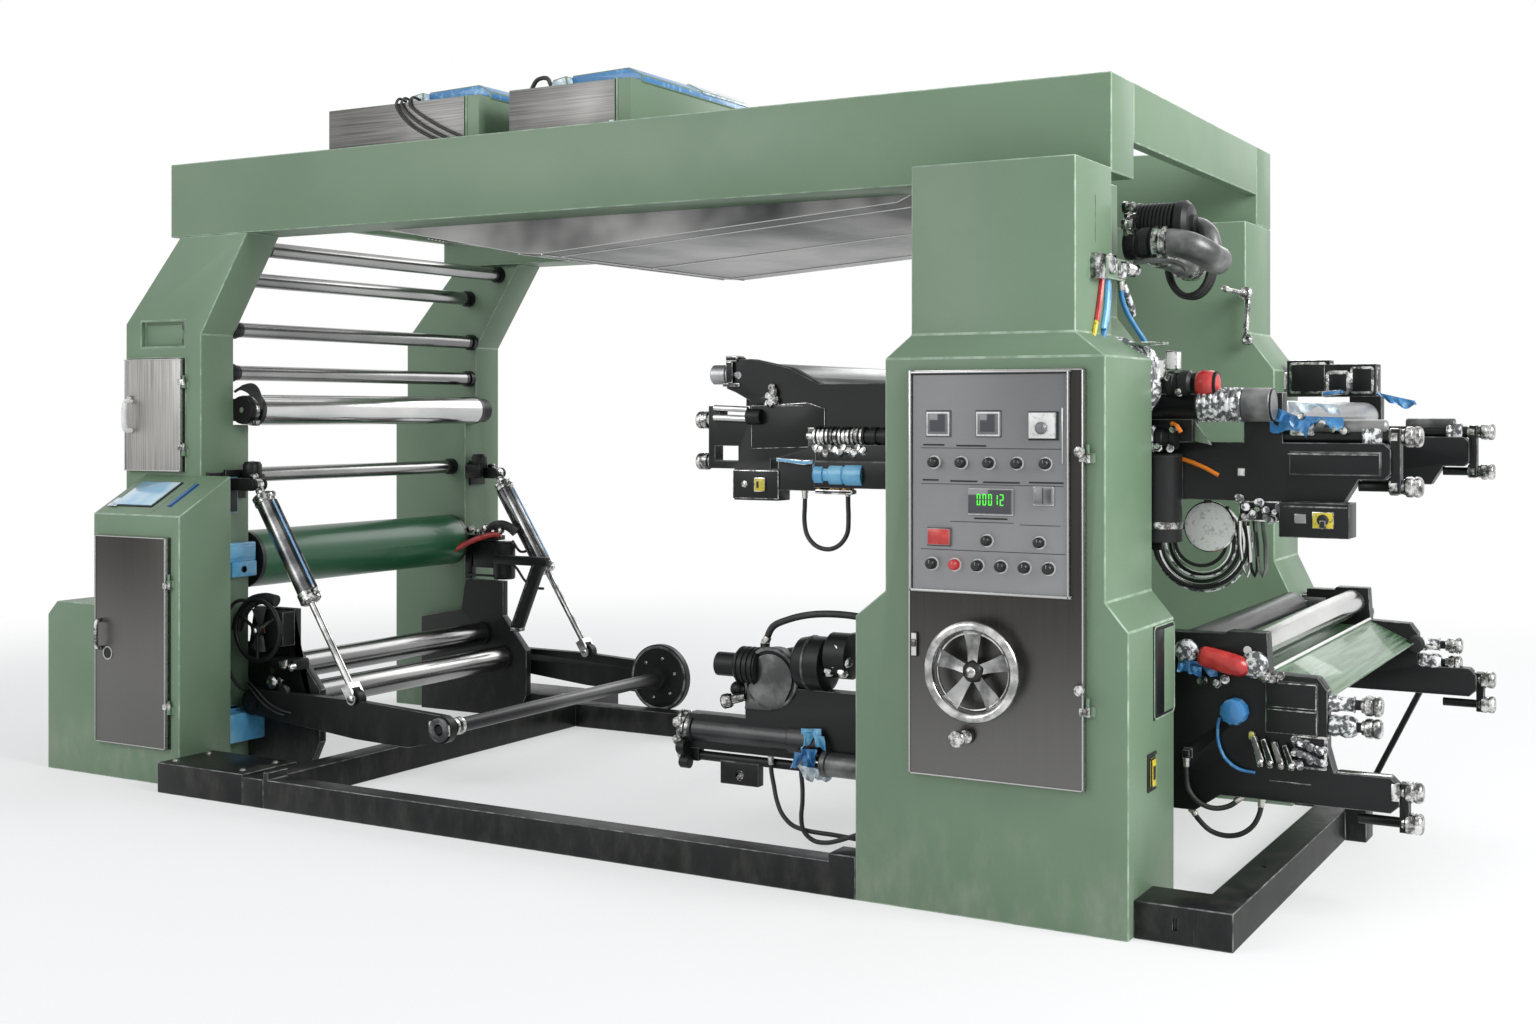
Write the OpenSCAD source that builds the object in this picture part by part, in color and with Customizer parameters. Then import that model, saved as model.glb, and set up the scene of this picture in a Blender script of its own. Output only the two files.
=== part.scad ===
// Stack-type flexographic printing press: two portal side frames, four print decks,
// a control cabinet and a winding station. Drawn from the cabinet's lower right front
// corner, then moved so that the origin is the middle of the footprint on the floor.

/* [Portal frames] */
// Distance between the outer faces of the front and rear portals
portal_span = 2080; // [1900:10:2300]
// Set-back of the front portal behind the cabinets' front faces
portal_setback = 400; // [380:5:420]
// Thickness of the columns above the winding station
column_t = 190; // [160:5:210]
// Thickness of the columns at the winding station
column_foot_t = 280; // [260:5:300]
// Height at which the left columns get thicker
column_step_z = 1520; // [1490:5:1560]
// Width of the left columns
column_w = 478; // [440:2:520]
// Distance from the control cabinet's right side to the left columns' right side
left_column_x = 4335; // [4250:5:4450]
// Underside of the top beams
beam_z = 2353; // [2250:1:2450]
// Height of the top beams
beam_h = 324; // [280:1:360]
// Thickness of the top beams
beam_t = 230; // [200:5:240]
// Overhang of the beams past the left columns' tops
beam_overhang = 60; // [20:5:120]
// Height of the cross panels between the beams
cross_panel_h = 200; // [150:5:260]
// Thickness of the cross panels
cross_panel_t = 50; // [30:5:80]

/* [Base frame] */
// Height of the base rails
base_h = 115; // [100:5:130]
// Width of the front and rear base rails
rail_w = 100; // [80:5:115]
// Width of the right side rail and the left crossbar
side_rail_w = 115; // [90:5:140]
// Distance that the base frame reaches past the control cabinet
base_reach = 299; // [260:1:340]
// Distance from the front of the base to the back of its rear rail
rear_rail_y = 2200; // [2150:10:2300]
// Radius of the anchor bolt holes in the right side rail
anchor_r = 11; // [8:0.5:14]
// Spacing of the two anchor bolt holes
anchor_spacing = 1000; // [800:10:1100]

/* [Control cabinet] */
// Width of the cabinet at the floor
cabinet_w = 910; // [880:2:960]
// Depth of the cabinet
cabinet_d = 458; // [440:2:470]
// Height of the cabinet's wide foot
cabinet_foot_z = 919; // [850:1:980]
// Height at which the middle part begins
cabinet_mid_z = 1005; // [990:1:1060]
// Inset of the middle part on the left
mid_inset_left = 107; // [90:1:130]
// Inset of the middle part on the right
mid_inset_right = 72; // [50:1:90]
// Height at which the middle part ends
cabinet_shoulder_z = 1747; // [1730:1:1770]
// Height at which the upper box begins
cabinet_neck_z = 1824; // [1800:1:1860]
// Inset of the upper box on the left
neck_inset_left = 171; // [150:1:200]
// Inset of the upper box on the right
neck_inset_right = 187; // [160:1:210]
// Set-back of the upper box
neck_setback = 60; // [40:1:80]
// Height of the upper box over the underside of the beams
neck_over_beam = 13; // [5:1:40]
// Depth of the space behind the control door
control_space_d = 300; // [200:10:330]

/* [Control door] */
// Width of the control door
door_w = 582; // [540:2:600]
// Height of the control door
door_h = 1270; // [1200:5:1290]
// Bottom edge of the control door
door_z = 437; // [420:1:480]
// Distance from the cabinet's right side to the door's hinge edge
door_hinge_x = 126; // [110:1:140]
// Thickness of the doors
door_t = 22; // [16:1:30]
// Gap behind the doors
door_gap = 2; // [1:0.5:4]
// Border around the spaces behind the doors
door_border = 18; // [12:1:30]
// Width of the instrument panel
panel_w = 523; // [480:1:530]
// Height of the instrument panel
panel_h = 683; // [640:1:690]
// Thickness of the instrument panel
panel_t = 12; // [8:1:16]
// Radius of the chrome handwheel
wheel_r = 158; // [140:1:170]
// Height of the chrome handwheel
wheel_z = 780; // [740:1:820]

/* [Left console] */
// Width of the console cabinet
console_w = 530; // [500:5:560]
// Set-back of the console's front face
console_setback = 115; // [100:5:140]
// Height of the console's front edge
console_z = 1138; // [1100:1:1180]
// Height of the desk where it meets the column
desk_z = 1299; // [1260:1:1300]
// Right side of the console
console_right_x = 4150; // [4140:1:4200]
// Width of the bay on the console's left side
bay_w = 300; // [260:5:330]
// Height of that bay
bay_z = 743; // [700:1:800]

/* [Web rollers] */
// Radius of the guide rollers
guide_r = 34; // [28:1:40]
// Radius of the big chrome roller
chrome_roller_r = 70; // [60:1:80]
// Radius of the green rubber drum
drum_r = 130; // [115:1:145]
// Radius of the journals
journal_r = 14; // [10:1:18]
// Radial running clearance of the journals
run_gap = 0.05; // [0.02:0.01:0.1]
// End gap of the rollers beside their bearings
end_gap = 6; // [5:1:12]
// Thickness of the bearing flanges
bearing_t = 30; // [20:1:40]

/* [Winding station] */
// Radius of the winding drums
winder_r = 60; // [50:1:65]
// Thickness of the winder's side plates
winder_plate_t = 40; // [30:1:50]
// Height of the swing arms' pivot
arm_pivot_z = 290; // [270:1:310]
// Distance of the pivot from the columns' right side
arm_pivot_dx = 135; // [120:1:150]
// Length of the swing arms from pivot to reel shaft
arm_len = 1080; // [1000:5:1150]
// Thickness of the swing arms
arm_t = 40; // [30:1:44]
// Distance from the pivot to the rod's pin
rod_pin_d = 600; // [560:5:640]
// Radius of the reel shaft
reel_shaft_r = 30; // [24:1:34]
// Radius of the reel flange
flange_r = 164; // [140:1:180]
// Radius of the cylinders
cylinder_r = 42; // [36:1:46]
// Radius of the piston rods
rod_r = 16; // [12:1:18]
// Height of the cylinders' upper pins
cylinder_pin_z = 1255; // [1230:1:1280]
// Radius of the black handwheel
winder_wheel_r = 133; // [120:1:145]

/* [Print decks] */
// Thickness of the decks' side plates
deck_t = 60; // [50:1:66]
// Distance of the decks' side plates behind the front portal's outer face
deck_setback = 190; // [180:1:200]
// Reach of the right decks past the control cabinet
right_reach = 700; // [660:5:740]
// Reach of the left decks past the control cabinet's right side
left_reach = 1860; // [1800:5:1900]
// Radius of the hand knobs
knob_r = 28; // [22:1:32]
// Radius of the slide rods
slide_r = 16; // [12:1:20]
// Radius of the anilox roller
anilox_r = 50; // [44:1:56]
// Radius of the rubber ink roller
ink_roller_r = 60; // [52:1:62]
// Radius of the upper decks' rollers
deck_roller_r = 55; // [48:1:60]
// Thickness of the ink tray's sheet
tray_t = 6; // [4:0.5:8]

/* [Overhead] */
// Depth of the blower boxes
blower_d = 900; // [800:10:950]
// Height of the blower boxes
blower_h = 200; // [170:5:230]
// Depth of the dryer hood under the beams' underside
hood_drop = 138; // [110:1:150]
// Left end of the dryer hood, from the cabinet's right face
hood_left = 3800; // [3760:5:3850]
// Where the hood's floor starts to slope down
hood_slope_start = 3454; // [3400:2:3500]
// Where that slope ends
hood_slope_end = 2760; // [2700:5:2800]
// Lowest line of the hood's floor
hood_low = 2650; // [2600:5:2690]
// Top edge of the hood's sloping back
hood_back = 2100; // [2050:5:2160]
// Foot of that back, where the hood's long top begins
hood_top_start = 2000; // [1900:5:2040]
// Where the floor turns up to the hood's right end
hood_rise = 1062; // [1030:2:1100]
// Right end of the hood
hood_right = 1000; // [940:5:1010]
// Height of the hood's top over the beams' underside, at its left, middle and right
hood_left_h = 47; // [35:1:60]
hood_middle_h = 147; // [120:1:170]
hood_right_h = 67; // [50:1:85]
// Left blower box: its left and right ends
left_box_start = 3725; // [3690:5:3760]
left_box_end = 2915; // [2860:5:2950]
// Right blower box: its left and right ends
right_box_start = 2750; // [2700:5:2800]
right_box_end = 2168; // [2120:2:2200]
// Setback of the blower boxes from the front beam's face
blower_setback = 160; // [120:5:200]
// Radius of the extraction blower's motor, and its depth under the beams' underside
motor_r = 95; // [85:1:110]
motor_drop = 183; // [170:1:200]
// Radius and length of the duct that the blower feeds
duct_r = 45; // [38:1:52]
duct_len = 560; // [500:10:600]

/* [Hidden] */
$fn = 48;
eps = 1;

paint = [0.43, 0.55, 0.45];
dark = [0.13, 0.14, 0.15];
bright = [0.75, 0.76, 0.78];
steel = [0.45, 0.44, 0.43];
drum_green = [0.07, 0.32, 0.18];

front_y = portal_setback;
rear_y = portal_setback + portal_span;
mid_y = (front_y + rear_y) / 2;
inner_y = front_y + column_t;
foot_inner_y = front_y + column_foot_t;
beam_top = beam_z + beam_h;

// Left columns: upright, then leaning inwards below the beam
column_x1 = -left_column_x;
column_x0 = column_x1 - column_w;
column_lean = 282;
column_top_w = 409;
column_top_x1 = column_x1 + column_lean;
column_top_x0 = column_top_x1 - column_top_w;
lean_right_z = beam_z - 433;
lean_left_z = beam_z - 378;
beam_x0 = column_top_x0 - beam_overhang;
beam_x1 = -neck_inset_right;

// Press columns behind the cabinet, stepped as the cabinet is
inner_inset = 100;
press_foot_z = cabinet_foot_z - 89;
press_mid_z = press_foot_z + 150;
press_neck_z = cabinet_shoulder_z + 153;
press_front_t = 302;
press_rear_t = 410;

// Faces that the decks' side plates are bolted to
right_mid_x = -mid_inset_right;
left_mid_x = -cabinet_w + mid_inset_left;
left_foot_x = -cabinet_w;

// Left crossbar and the foot plates under the winding station
left_bar_x1 = -left_column_x + 790;
left_bar_x0 = left_bar_x1 - side_rail_w;
foot_plate_d = 300;
side_rail_x0 = base_reach - side_rail_w;
side_rail_y0 = 45;
side_rail_y1 = rear_rail_y + 120;
stub_w = 188;
anchor_x = base_reach - side_rail_w / 2;
anchor_y = 627;

// Console and its side bay
console_x1 = -console_right_x;
console_x0 = console_x1 - console_w;
bay_x0 = console_x0 - bay_w;
bay_chamfer = 60;
lower_door = [console_x0 + 37, console_x1 - 58, 155, 1045];
upper_door = [column_x0 + 19, column_x1 - 103, desk_z + 16, desk_z + 514];
upper_space_d = 150;
lower_space_d = 220;

// Control door and what it carries
control_door_box = [-door_hinge_x - door_w, -door_hinge_x - 6, door_z, door_z + door_h];
door_face = -door_gap - door_t;
panel_x0 = control_door_box[0] + 11;
panel_z0 = door_z + door_h - 4 - panel_h;
panel_face = door_face - panel_t;
wheel_x = control_door_box[0] + 239;
wheel_stand = 60;
wheel_tube = 15;
wheel_shaft_r = 14;
hinge_r = 9;
hinge_pin_r = 5;
hinge_h = 60;
hinge_dx = 10;

// Centre lines of the web rollers: x, z
guide_1 = [column_x1 + 155, beam_z - 50];
guide_2 = [column_x1 - 45, beam_z - 171];
guide_3 = [column_x1 - 25, beam_z - 404];
guide_4 = [column_x1 - 41, beam_z - 598];
guide_5 = [column_x1 - 89, column_step_z - 231];
chrome_line = [column_x1 + 47, column_step_z + 67];
drum_line = [column_x1 - 75, column_step_z - 615];
journal_inset = 3;

// Winding station
winder_front_y = foot_inner_y;
winder_back_y = winder_front_y + winder_plate_t;
drum_rear_line = [column_x1 + 145, arm_pivot_z + 130];
drum_front_line = [column_x1 + 285, arm_pivot_z + 15];
winder_journal_r = 20;
arm_pivot = [column_x1 + arm_pivot_dx, arm_pivot_z];
arm_gap = 6;
arm_y1 = winder_front_y - 70;
arm_y0 = arm_y1 - arm_t;
arm_y = (arm_y0 + arm_y1) / 2;
pivot_pin_r = 25;
reel_line = [arm_pivot[0] + arm_len, arm_pivot_z - 28];
reel_journal_r = 20;
rod_pin = [arm_pivot[0] + rod_pin_d, arm_pivot_z + 60];
rod_pin_r = 12;
rod_pin_play = 10;
lug_r = 38;
ear_t = 12;
ear_gap = 4;
top_pin = [column_x1 + 145, cylinder_pin_z];
top_pin_r = 14;
cylinder_dx = rod_pin[0] - top_pin[0];
cylinder_dz = rod_pin[1] - top_pin[1];
cylinder_span = sqrt(cylinder_dx * cylinder_dx + cylinder_dz * cylinder_dz);
cylinder_tilt = atan2(-cylinder_dz, cylinder_dx);
winder_wheel = [column_x1 + 195, arm_pivot_z + 323];
winder_wheel_y = arm_y0 - 25;
winder_shaft_r = 12;
winder_wheel_tube = 10;
gearbox_y = winder_front_y - 70;
flange_y1 = 2 * mid_y - arm_y1 - 20;
flange_t = 40;

// Decks: side plates and roller lines
deck_y0 = front_y + deck_setback;
deck_y1 = deck_y0 + deck_t;
deck_y = (deck_y0 + deck_y1) / 2;
knob_len = 60;
upper_roller_line = [250, 1560];
left_upper_line = [-left_reach + 160, 1715];
left_lower_line = [-left_reach + 360, 620];
left_lower_r = 80;
ink_line = [5, 800];
anilox_line = [200, 812];
rear_lift = 130;
tray_gap = 0.3;

// Heights of the decks' plates, arms, rods and housings
left_x = -left_reach;
right_x = right_reach;
left_upper_z = [1404, 1680, 1775];
left_upper_rods = [1718, 1547, 1390];
left_screw_z = 1490;
left_motor_z = 1305;
hose_block_z = 1290;
sleeve_x = -1336;
rib_h = 5;
cable_hole_r = 35;
arm_z = [300, 435];
left_lower_rods = [409, 270];
guard_z = 590;
guard_r = 112;
lug_hole_r = 18;
right_upper_z = [1292, 1480];
right_upper_rods = [1500, 1345];
right_motor_z = 1155;
screw_z = 1600;
valve_z = 1665;
manifold_z = 1745;
right_arm_z = [338, 447];
right_lower_rods = [404, 308];
ink_rods = [660, 590];
tray_z = 745;
coil_centre = [30, 1150];
coil_r = 110;
coil_tube_r = 20;
disc_r = 75;
neck_bracket = [[-187, -160], [193, 460], [2000, 2070]];

// Hoses: radii, and the centre lines from exit to end
hose_r = 8.5;
arched_hose_r = 13;
hose_sides = 8;
left_upper_route = [
    [-1406, 575, 1290], [-1406, 573, 1235], [-1406, 570, 1180], [-1392, 565, 1129],
    [-1353, 558, 1092], [-1299, 552, 1081], [-1249, 545, 1099], [-1215, 539, 1141],
    [-1207, 534, 1195], [-1207, 531, 1250], [-1207, 530, 1305]
];
left_lower_route = [
    [-1560, 592, 300], [-1555, 588, 247], [-1539, 579, 196], [-1523, 571, 147],
    [-1496, 563, 101], [-1454, 559, 67], [-1403, 561, 53], [-1350, 567, 48],
    [-1296, 573, 46], [-1243, 580, 42], [-1190, 585, 38], [-1137, 589, 37],
    [-1080, 591, 42], [-1029, 592, 49], [-975, 592, 56], [-918, 592, 62],
    [-864, 592, 66], [-810, 592, 66]
];
left_looped_route = [
    [-1432, 592, 300], [-1429, 588, 251], [-1417, 575, 202], [-1408, 558, 152],
    [-1406, 546, 102], [-1393, 540, 55], [-1353, 540, 25], [-1303, 543, 22],
    [-1255, 549, 34], [-1207, 560, 52], [-1159, 569, 72], [-1112, 579, 91],
    [-1064, 586, 107], [-1015, 590, 119], [-964, 592, 127], [-914, 592, 131],
    [-862, 592, 132], [-810, 592, 132]
];
left_arched_route = [
    [-1600, 620, 715], [-1564, 614, 778], [-1494, 607, 810], [-1420, 603, 830],
    [-1346, 600, 840], [-1267, 600, 842], [-1190, 602, 837], [-1114, 606, 824],
    [-1040, 610, 811], [-964, 615, 797], [-888, 619, 787], [-810, 620, 784]
];
right_inner_route = [
    [8, 572, 452], [8, 568, 401], [15, 569, 351], [46, 575, 312],
    [93, 585, 295], [142, 599, 306], [178, 613, 338]
];
right_outer_route = [
    [10, 615, 280], [39, 606, 247], [76, 607, 216], [124, 609, 205],
    [172, 610, 215], [211, 611, 245], [233, 613, 288], [240, 617, 338]
];
neck_route = [
    [-172, 444, 2000], [-169, 450, 1945], [-154, 465, 1894], [-131, 485, 1846],
    [-108, 505, 1799], [-98, 516, 1745]
];

x_lo = bay_x0;
x_hi = right_reach + knob_len / 2;
y_lo = door_face - wheel_stand - wheel_tube;
y_hi = rear_y;

module place() {
    translate([-(x_lo + x_hi) / 2, -(y_lo + y_hi) / 2, 0]) children();
}

module block(x0, x1, y0, y1, z0, z1) {
    translate([x0, y0, z0]) cube([x1 - x0, y1 - y0, z1 - z0]);
}

module rod_x(y, z, r, x0, x1) {
    translate([x0, y, z]) rotate([0, 90, 0]) cylinder(r = r, h = x1 - x0);
}

module rod_y(x, z, r, y0, y1) {
    translate([x, y0, z]) rotate([-90, 0, 0]) cylinder(r = r, h = y1 - y0);
}

module rod_z(x, y, r, z0, z1) {
    translate([x, y, z0]) cylinder(r = r, h = z1 - z0);
}

// An outline in the XZ plane, drawn out along Y
module slab_y(outline, y0, y1) {
    translate([0, y1, 0]) rotate([90, 0, 0]) linear_extrude(y1 - y0) polygon(outline);
}

// An outline in the YZ plane, drawn out along X
module slab_x(outline, x0, x1) {
    translate([x0, 0, 0]) rotate([90, 0, 90]) linear_extrude(x1 - x0) polygon(outline);
}

module to_rear() {
    translate([0, 2 * mid_y, 0]) mirror([0, 1, 0]) children();
}

module both_sides() {
    children();
    to_rear() children();
}

// A ring about Y, for handwheel rims
module ring_y(x, y, z, big_r, tube_r) {
    translate([x, y, z]) rotate([90, 0, 0]) rotate_extrude() translate([big_r, 0]) circle(tube_r);
}

// A hand knob on a rod along X, its free end at x and pointing the way of dir
module knob(x, y, z, dir) {
    translate([x, y, z]) rotate([0, 90 * dir, 0]) translate([0, 0, -knob_len])
        rotate_extrude() polygon([
            [0, 0], [knob_r - 8, 0], [knob_r - 8, 12], [knob_r, 18],
            [knob_r, knob_len - 10], [knob_r - 8, knob_len], [0, knob_len]
        ]);
}

// Base frame

module base_front_rail() {
    color(dark) {
        block(left_bar_x1, -cabinet_w, 0, rail_w, 0, base_h);
        block(left_bar_x1, left_bar_x1 + 25, 0, rail_w + 10, 0, base_h + 30);
        block(-cabinet_w - 100, -cabinet_w, 0, rail_w + 10, 0, base_h + 25);
    }
    color(dark) block(console_x1, left_bar_x0, 0, foot_plate_d, 0, base_h + 10);
}

module base_rear_rail() {
    color(dark) {
        block(left_bar_x1, -cabinet_w, rear_rail_y - rail_w, rear_rail_y, 0, base_h);
        block(0, side_rail_x0, rear_rail_y - rail_w, rear_rail_y, 0, base_h);
        block(column_x1, left_bar_x0, rear_y - foot_plate_d + 20, rear_y, 0, base_h + 10);
    }
}

module base_left_crossbar() {
    color(dark) block(left_bar_x0, left_bar_x1, 0, rear_y, 0, base_h);
}

module base_right_rail() {
    color(dark) difference() {
        union() {
            block(0, side_rail_x0 + eps, side_rail_y0, side_rail_y0 + stub_w, 0, base_h);
            block(side_rail_x0, base_reach, side_rail_y0, side_rail_y1, 0, base_h);
            block(base_reach - eps, base_reach + 76, 1600, 1720, 0, base_h + 15);
        }
        rod_z(anchor_x, anchor_y, anchor_r, -eps, base_h + eps);
        rod_z(anchor_x, anchor_y + anchor_spacing, anchor_r, -eps, base_h + eps);
        block(120, 134, side_rail_y0 - eps, side_rail_y0 + 12, 42, 78);
    }
}

// Portal frames

module left_column_body() {
    lean_outline = [
        [column_x0, 0], [column_x1, 0], [column_x1, lean_right_z], [column_top_x1, beam_z],
        [column_top_x0, beam_z], [column_x0, lean_left_z]
    ];
    slab_y(lean_outline, front_y, inner_y);
    block(column_x0, column_x1, inner_y - eps, foot_inner_y, 0, column_step_z);
}

module front_left_column() {
    d = upper_door;
    b = door_border;
    color(paint) difference() {
        left_column_body();
        block(d[0] + b, d[1] - b, front_y - eps, front_y + upper_space_d, d[2] + b, d[3] - b);
        block(column_x0 + 100, column_x1 - 100, front_y - eps, front_y + 25, 1868, 1985);
    }
    color(bright) hinge_fixed(d, front_y);
}

module rear_left_column() {
    color(paint) to_rear() left_column_body();
}

function press_outline(inset) = [
    [-cabinet_w + inset, 0], [-inset, 0], [-inset, press_foot_z],
    [-mid_inset_right - inset, press_mid_z], [-mid_inset_right - inset, cabinet_shoulder_z],
    [-neck_inset_right - inset, press_neck_z], [-neck_inset_right - inset, beam_z],
    [-cabinet_w + neck_inset_left + inset, beam_z],
    [-cabinet_w + neck_inset_left + inset, press_neck_z],
    [-cabinet_w + mid_inset_left + inset, cabinet_shoulder_z],
    [-cabinet_w + mid_inset_left + inset, press_mid_z], [-cabinet_w + inset, press_foot_z]
];

module front_right_column() {
    color(paint) slab_y(press_outline(inner_inset), cabinet_d, cabinet_d + press_front_t);
}

module rear_right_column() {
    color(paint) slab_y(press_outline(0), rear_y - press_rear_t, rear_y);
}

module front_beam() {
    color(paint) block(beam_x0, beam_x1, front_y, front_y + beam_t, beam_z, beam_top);
}

module rear_beam() {
    color(paint) to_rear() block(beam_x0, beam_x1, front_y, front_y + beam_t, beam_z, beam_top);
}

module cross_panels() {
    color(paint) for (x = [beam_x0, beam_x1 - cross_panel_t])
        block(x, x + cross_panel_t, front_y + beam_t, rear_y - beam_t, beam_top - cross_panel_h, beam_top);
}

// Overhead

module dryer_hood() {
    low_z = beam_z - hood_drop;
    outline = [
        [-hood_left, beam_top], [-hood_left, beam_z + hood_left_h], [-hood_slope_start, beam_z],
        [-hood_slope_end, low_z + 7], [-hood_low, low_z], [-hood_rise, beam_z - 26], [-hood_right, beam_z],
        [-hood_right, beam_z + hood_right_h], [-hood_top_start, beam_z + hood_middle_h], [-hood_back, beam_top]
    ];
    color(steel) slab_y(outline, front_y + beam_t, rear_y - beam_t);
}

module blower_boxes() {
    y0 = front_y + blower_setback;
    color(steel) for (span = [[-left_box_start, -left_box_end], [-right_box_start, -right_box_end]])
        block(span[0], span[1], y0, y0 + blower_d, beam_top, beam_top + blower_h);
}

module blower_motor() {
    neck_x = -neck_inset_right - inner_inset;
    motor_z = beam_z - motor_drop;
    color(dark) {
        rod_x(deck_y + 20, motor_z, motor_r, neck_x, neck_x + 250);
        rod_x(deck_y + 20, motor_z, motor_r + 12, neck_x + 60, neck_x + 80);
        rod_x(deck_y + 20, motor_z, motor_r + 12, neck_x + 180, neck_x + 200);
    }
    color(steel) rod_y(neck_x + 130, motor_z - 50, duct_r, deck_y, deck_y + duct_len);
}

// Doors: each one is [left, right, bottom, top] on a wall that faces -Y

function hinge_x(d) = d[1] + hinge_dx;
function hinge_y(wall) = wall - door_gap - door_t / 2;
function hinge_zs(d) = [d[2] + (d[3] - d[2]) * 0.2, d[3] - (d[3] - d[2]) * 0.2];

module hinge_fixed(d, wall) {
    x = hinge_x(d);
    y = hinge_y(wall);
    for (z = hinge_zs(d)) {
        rod_z(x, y, hinge_r, z - hinge_h / 2, z - 0.5);
        rod_z(x, y, hinge_pin_r, z - 1, z + hinge_h / 2 - 4);
        block(x, x + 20, wall - 4, wall, z - hinge_h / 2, z - 0.5);
        block(x - 3, x + 3, y, wall, z - hinge_h / 2, z - 0.5);
    }
}

module door_leaf(d, wall) {
    y1 = wall - door_gap;
    x = hinge_x(d);
    y = hinge_y(wall);
    block(d[0], d[1], y1 - door_t, y1, d[2], d[3]);
    for (z = hinge_zs(d)) difference() {
        union() {
            rod_z(x, y, hinge_r, z, z + hinge_h / 2);
            block(d[1] - eps, x, y - 3, y + 3, z, z + hinge_h / 2);
        }
        rod_z(x, y, hinge_pin_r + run_gap, z - eps, z + hinge_h / 2 - 3);
    }
}

module console_upper_door() {
    color(steel) door_leaf(upper_door, front_y);
}

module console_lower_door() {
    color(steel) door_leaf(lower_door, console_setback);
}

module console_cabinet() {
    d = lower_door;
    b = door_border;
    side = [
        [console_setback, 0], [front_y, 0], [front_y, desk_z], [console_setback, console_z]
    ];
    bay = [
        [bay_x0, 0], [console_x0 + eps, 0], [console_x0 + eps, bay_z],
        [bay_x0 + bay_chamfer, bay_z], [bay_x0, bay_z - bay_chamfer]
    ];
    bay_back = [
        [bay_x0, 0], [column_x0, 0], [column_x0, bay_z],
        [bay_x0 + bay_chamfer, bay_z], [bay_x0, bay_z - bay_chamfer]
    ];
    color(paint) difference() {
        union() {
            slab_x(side, console_x0, console_x1);
            slab_y(bay, console_setback, front_y);
            slab_y(bay_back, front_y - eps, foot_inner_y);
        }
        block(d[0] + b, d[1] - b, console_setback - eps, console_setback + lower_space_d, d[2] + b, d[3] - b);
    }
    color(bright) hinge_fixed(d, console_setback);
}

// Control cabinet

module control_cabinet() {
    d = control_door_box;
    b = door_border;
    front = [
        [-cabinet_w, 0], [0, 0], [0, cabinet_foot_z], [-mid_inset_right, cabinet_mid_z],
        [-mid_inset_right, cabinet_shoulder_z], [-neck_inset_right, cabinet_neck_z],
        [-neck_inset_right, beam_z + neck_over_beam],
        [-cabinet_w + neck_inset_left, beam_z + neck_over_beam],
        [-cabinet_w + neck_inset_left, cabinet_neck_z],
        [-cabinet_w + mid_inset_left, cabinet_shoulder_z],
        [-cabinet_w + mid_inset_left, cabinet_mid_z], [-cabinet_w, cabinet_foot_z]
    ];
    side = [
        [0, 0], [cabinet_d, 0], [cabinet_d, cabinet_neck_z], [front_y, cabinet_neck_z],
        [front_y, beam_z + neck_over_beam], [neck_setback, beam_z + neck_over_beam],
        [neck_setback, cabinet_neck_z], [0, cabinet_shoulder_z]
    ];
    color(paint) difference() {
        intersection() {
            slab_y(front, 0, cabinet_d);
            slab_x(side, -cabinet_w, 0);
        }
        block(d[0] + b, d[1] - b, -eps, control_space_d, d[2] + b, d[3] - b);
    }
    color(bright) {
        hinge_fixed(d, 0);
        block(
            neck_bracket[0][0] - eps, neck_bracket[0][1], neck_bracket[1][0], neck_bracket[1][1],
            neck_bracket[2][0], neck_bracket[2][1]
        );
    }
}

module control_door() {
    color(steel) difference() {
        door_leaf(control_door_box, 0);
        rod_y(wheel_x, wheel_z, wheel_shaft_r + run_gap, door_face - eps, 0);
    }
}

module instrument_panel() {
    x1 = panel_x0 + panel_w;
    z1 = panel_z0 + panel_h;
    color([0.6, 0.61, 0.62]) {
        block(panel_x0, x1, panel_face, door_face, panel_z0, z1);
        for (x = [97, 265, 440])
            block(panel_x0 + x - 38, panel_x0 + x + 38, panel_face - 6, panel_face, z1 - 204, z1 - 124);
        block(panel_x0 + 200, panel_x0 + 345, panel_face - 8, panel_face, z1 - 440, z1 - 365);
    }
    color(dark) {
        for (i = [0 : 4]) rod_y(panel_x0 + 83 + i * 92, z1 - 283, 16, panel_face - 26, panel_face);
        for (i = [0 : 5]) rod_y(panel_x0 + 76 + i * 77, z1 - 600, 16, panel_face - 26, panel_face);
        for (x = [261, 431]) rod_y(panel_x0 + x, z1 - 522, 15, panel_face - 26, panel_face);
    }
}

module control_handwheel() {
    y = door_face - wheel_stand;
    color(bright) {
        ring_y(wheel_x, y, wheel_z, wheel_r - wheel_tube, wheel_tube);
        rod_y(wheel_x, wheel_z, 34, y - 8, door_face - 5);
        rod_y(wheel_x, wheel_z, wheel_shaft_r, door_face - 6, -door_gap);
        for (a = [0 : 72 : 288]) translate([wheel_x, 0, wheel_z]) rotate([0, a, 0])
            block(0, wheel_r - wheel_tube, y - 4, y + 4, -16, 16);
    }
}

// Web rollers

module flange_bearing(line, r, y0, y1, shaft_r) {
    difference() {
        rod_y(line[0], line[1], r, y0, y1);
        rod_y(line[0], line[1], shaft_r + run_gap, y0 - eps, y1 + eps);
    }
}

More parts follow.
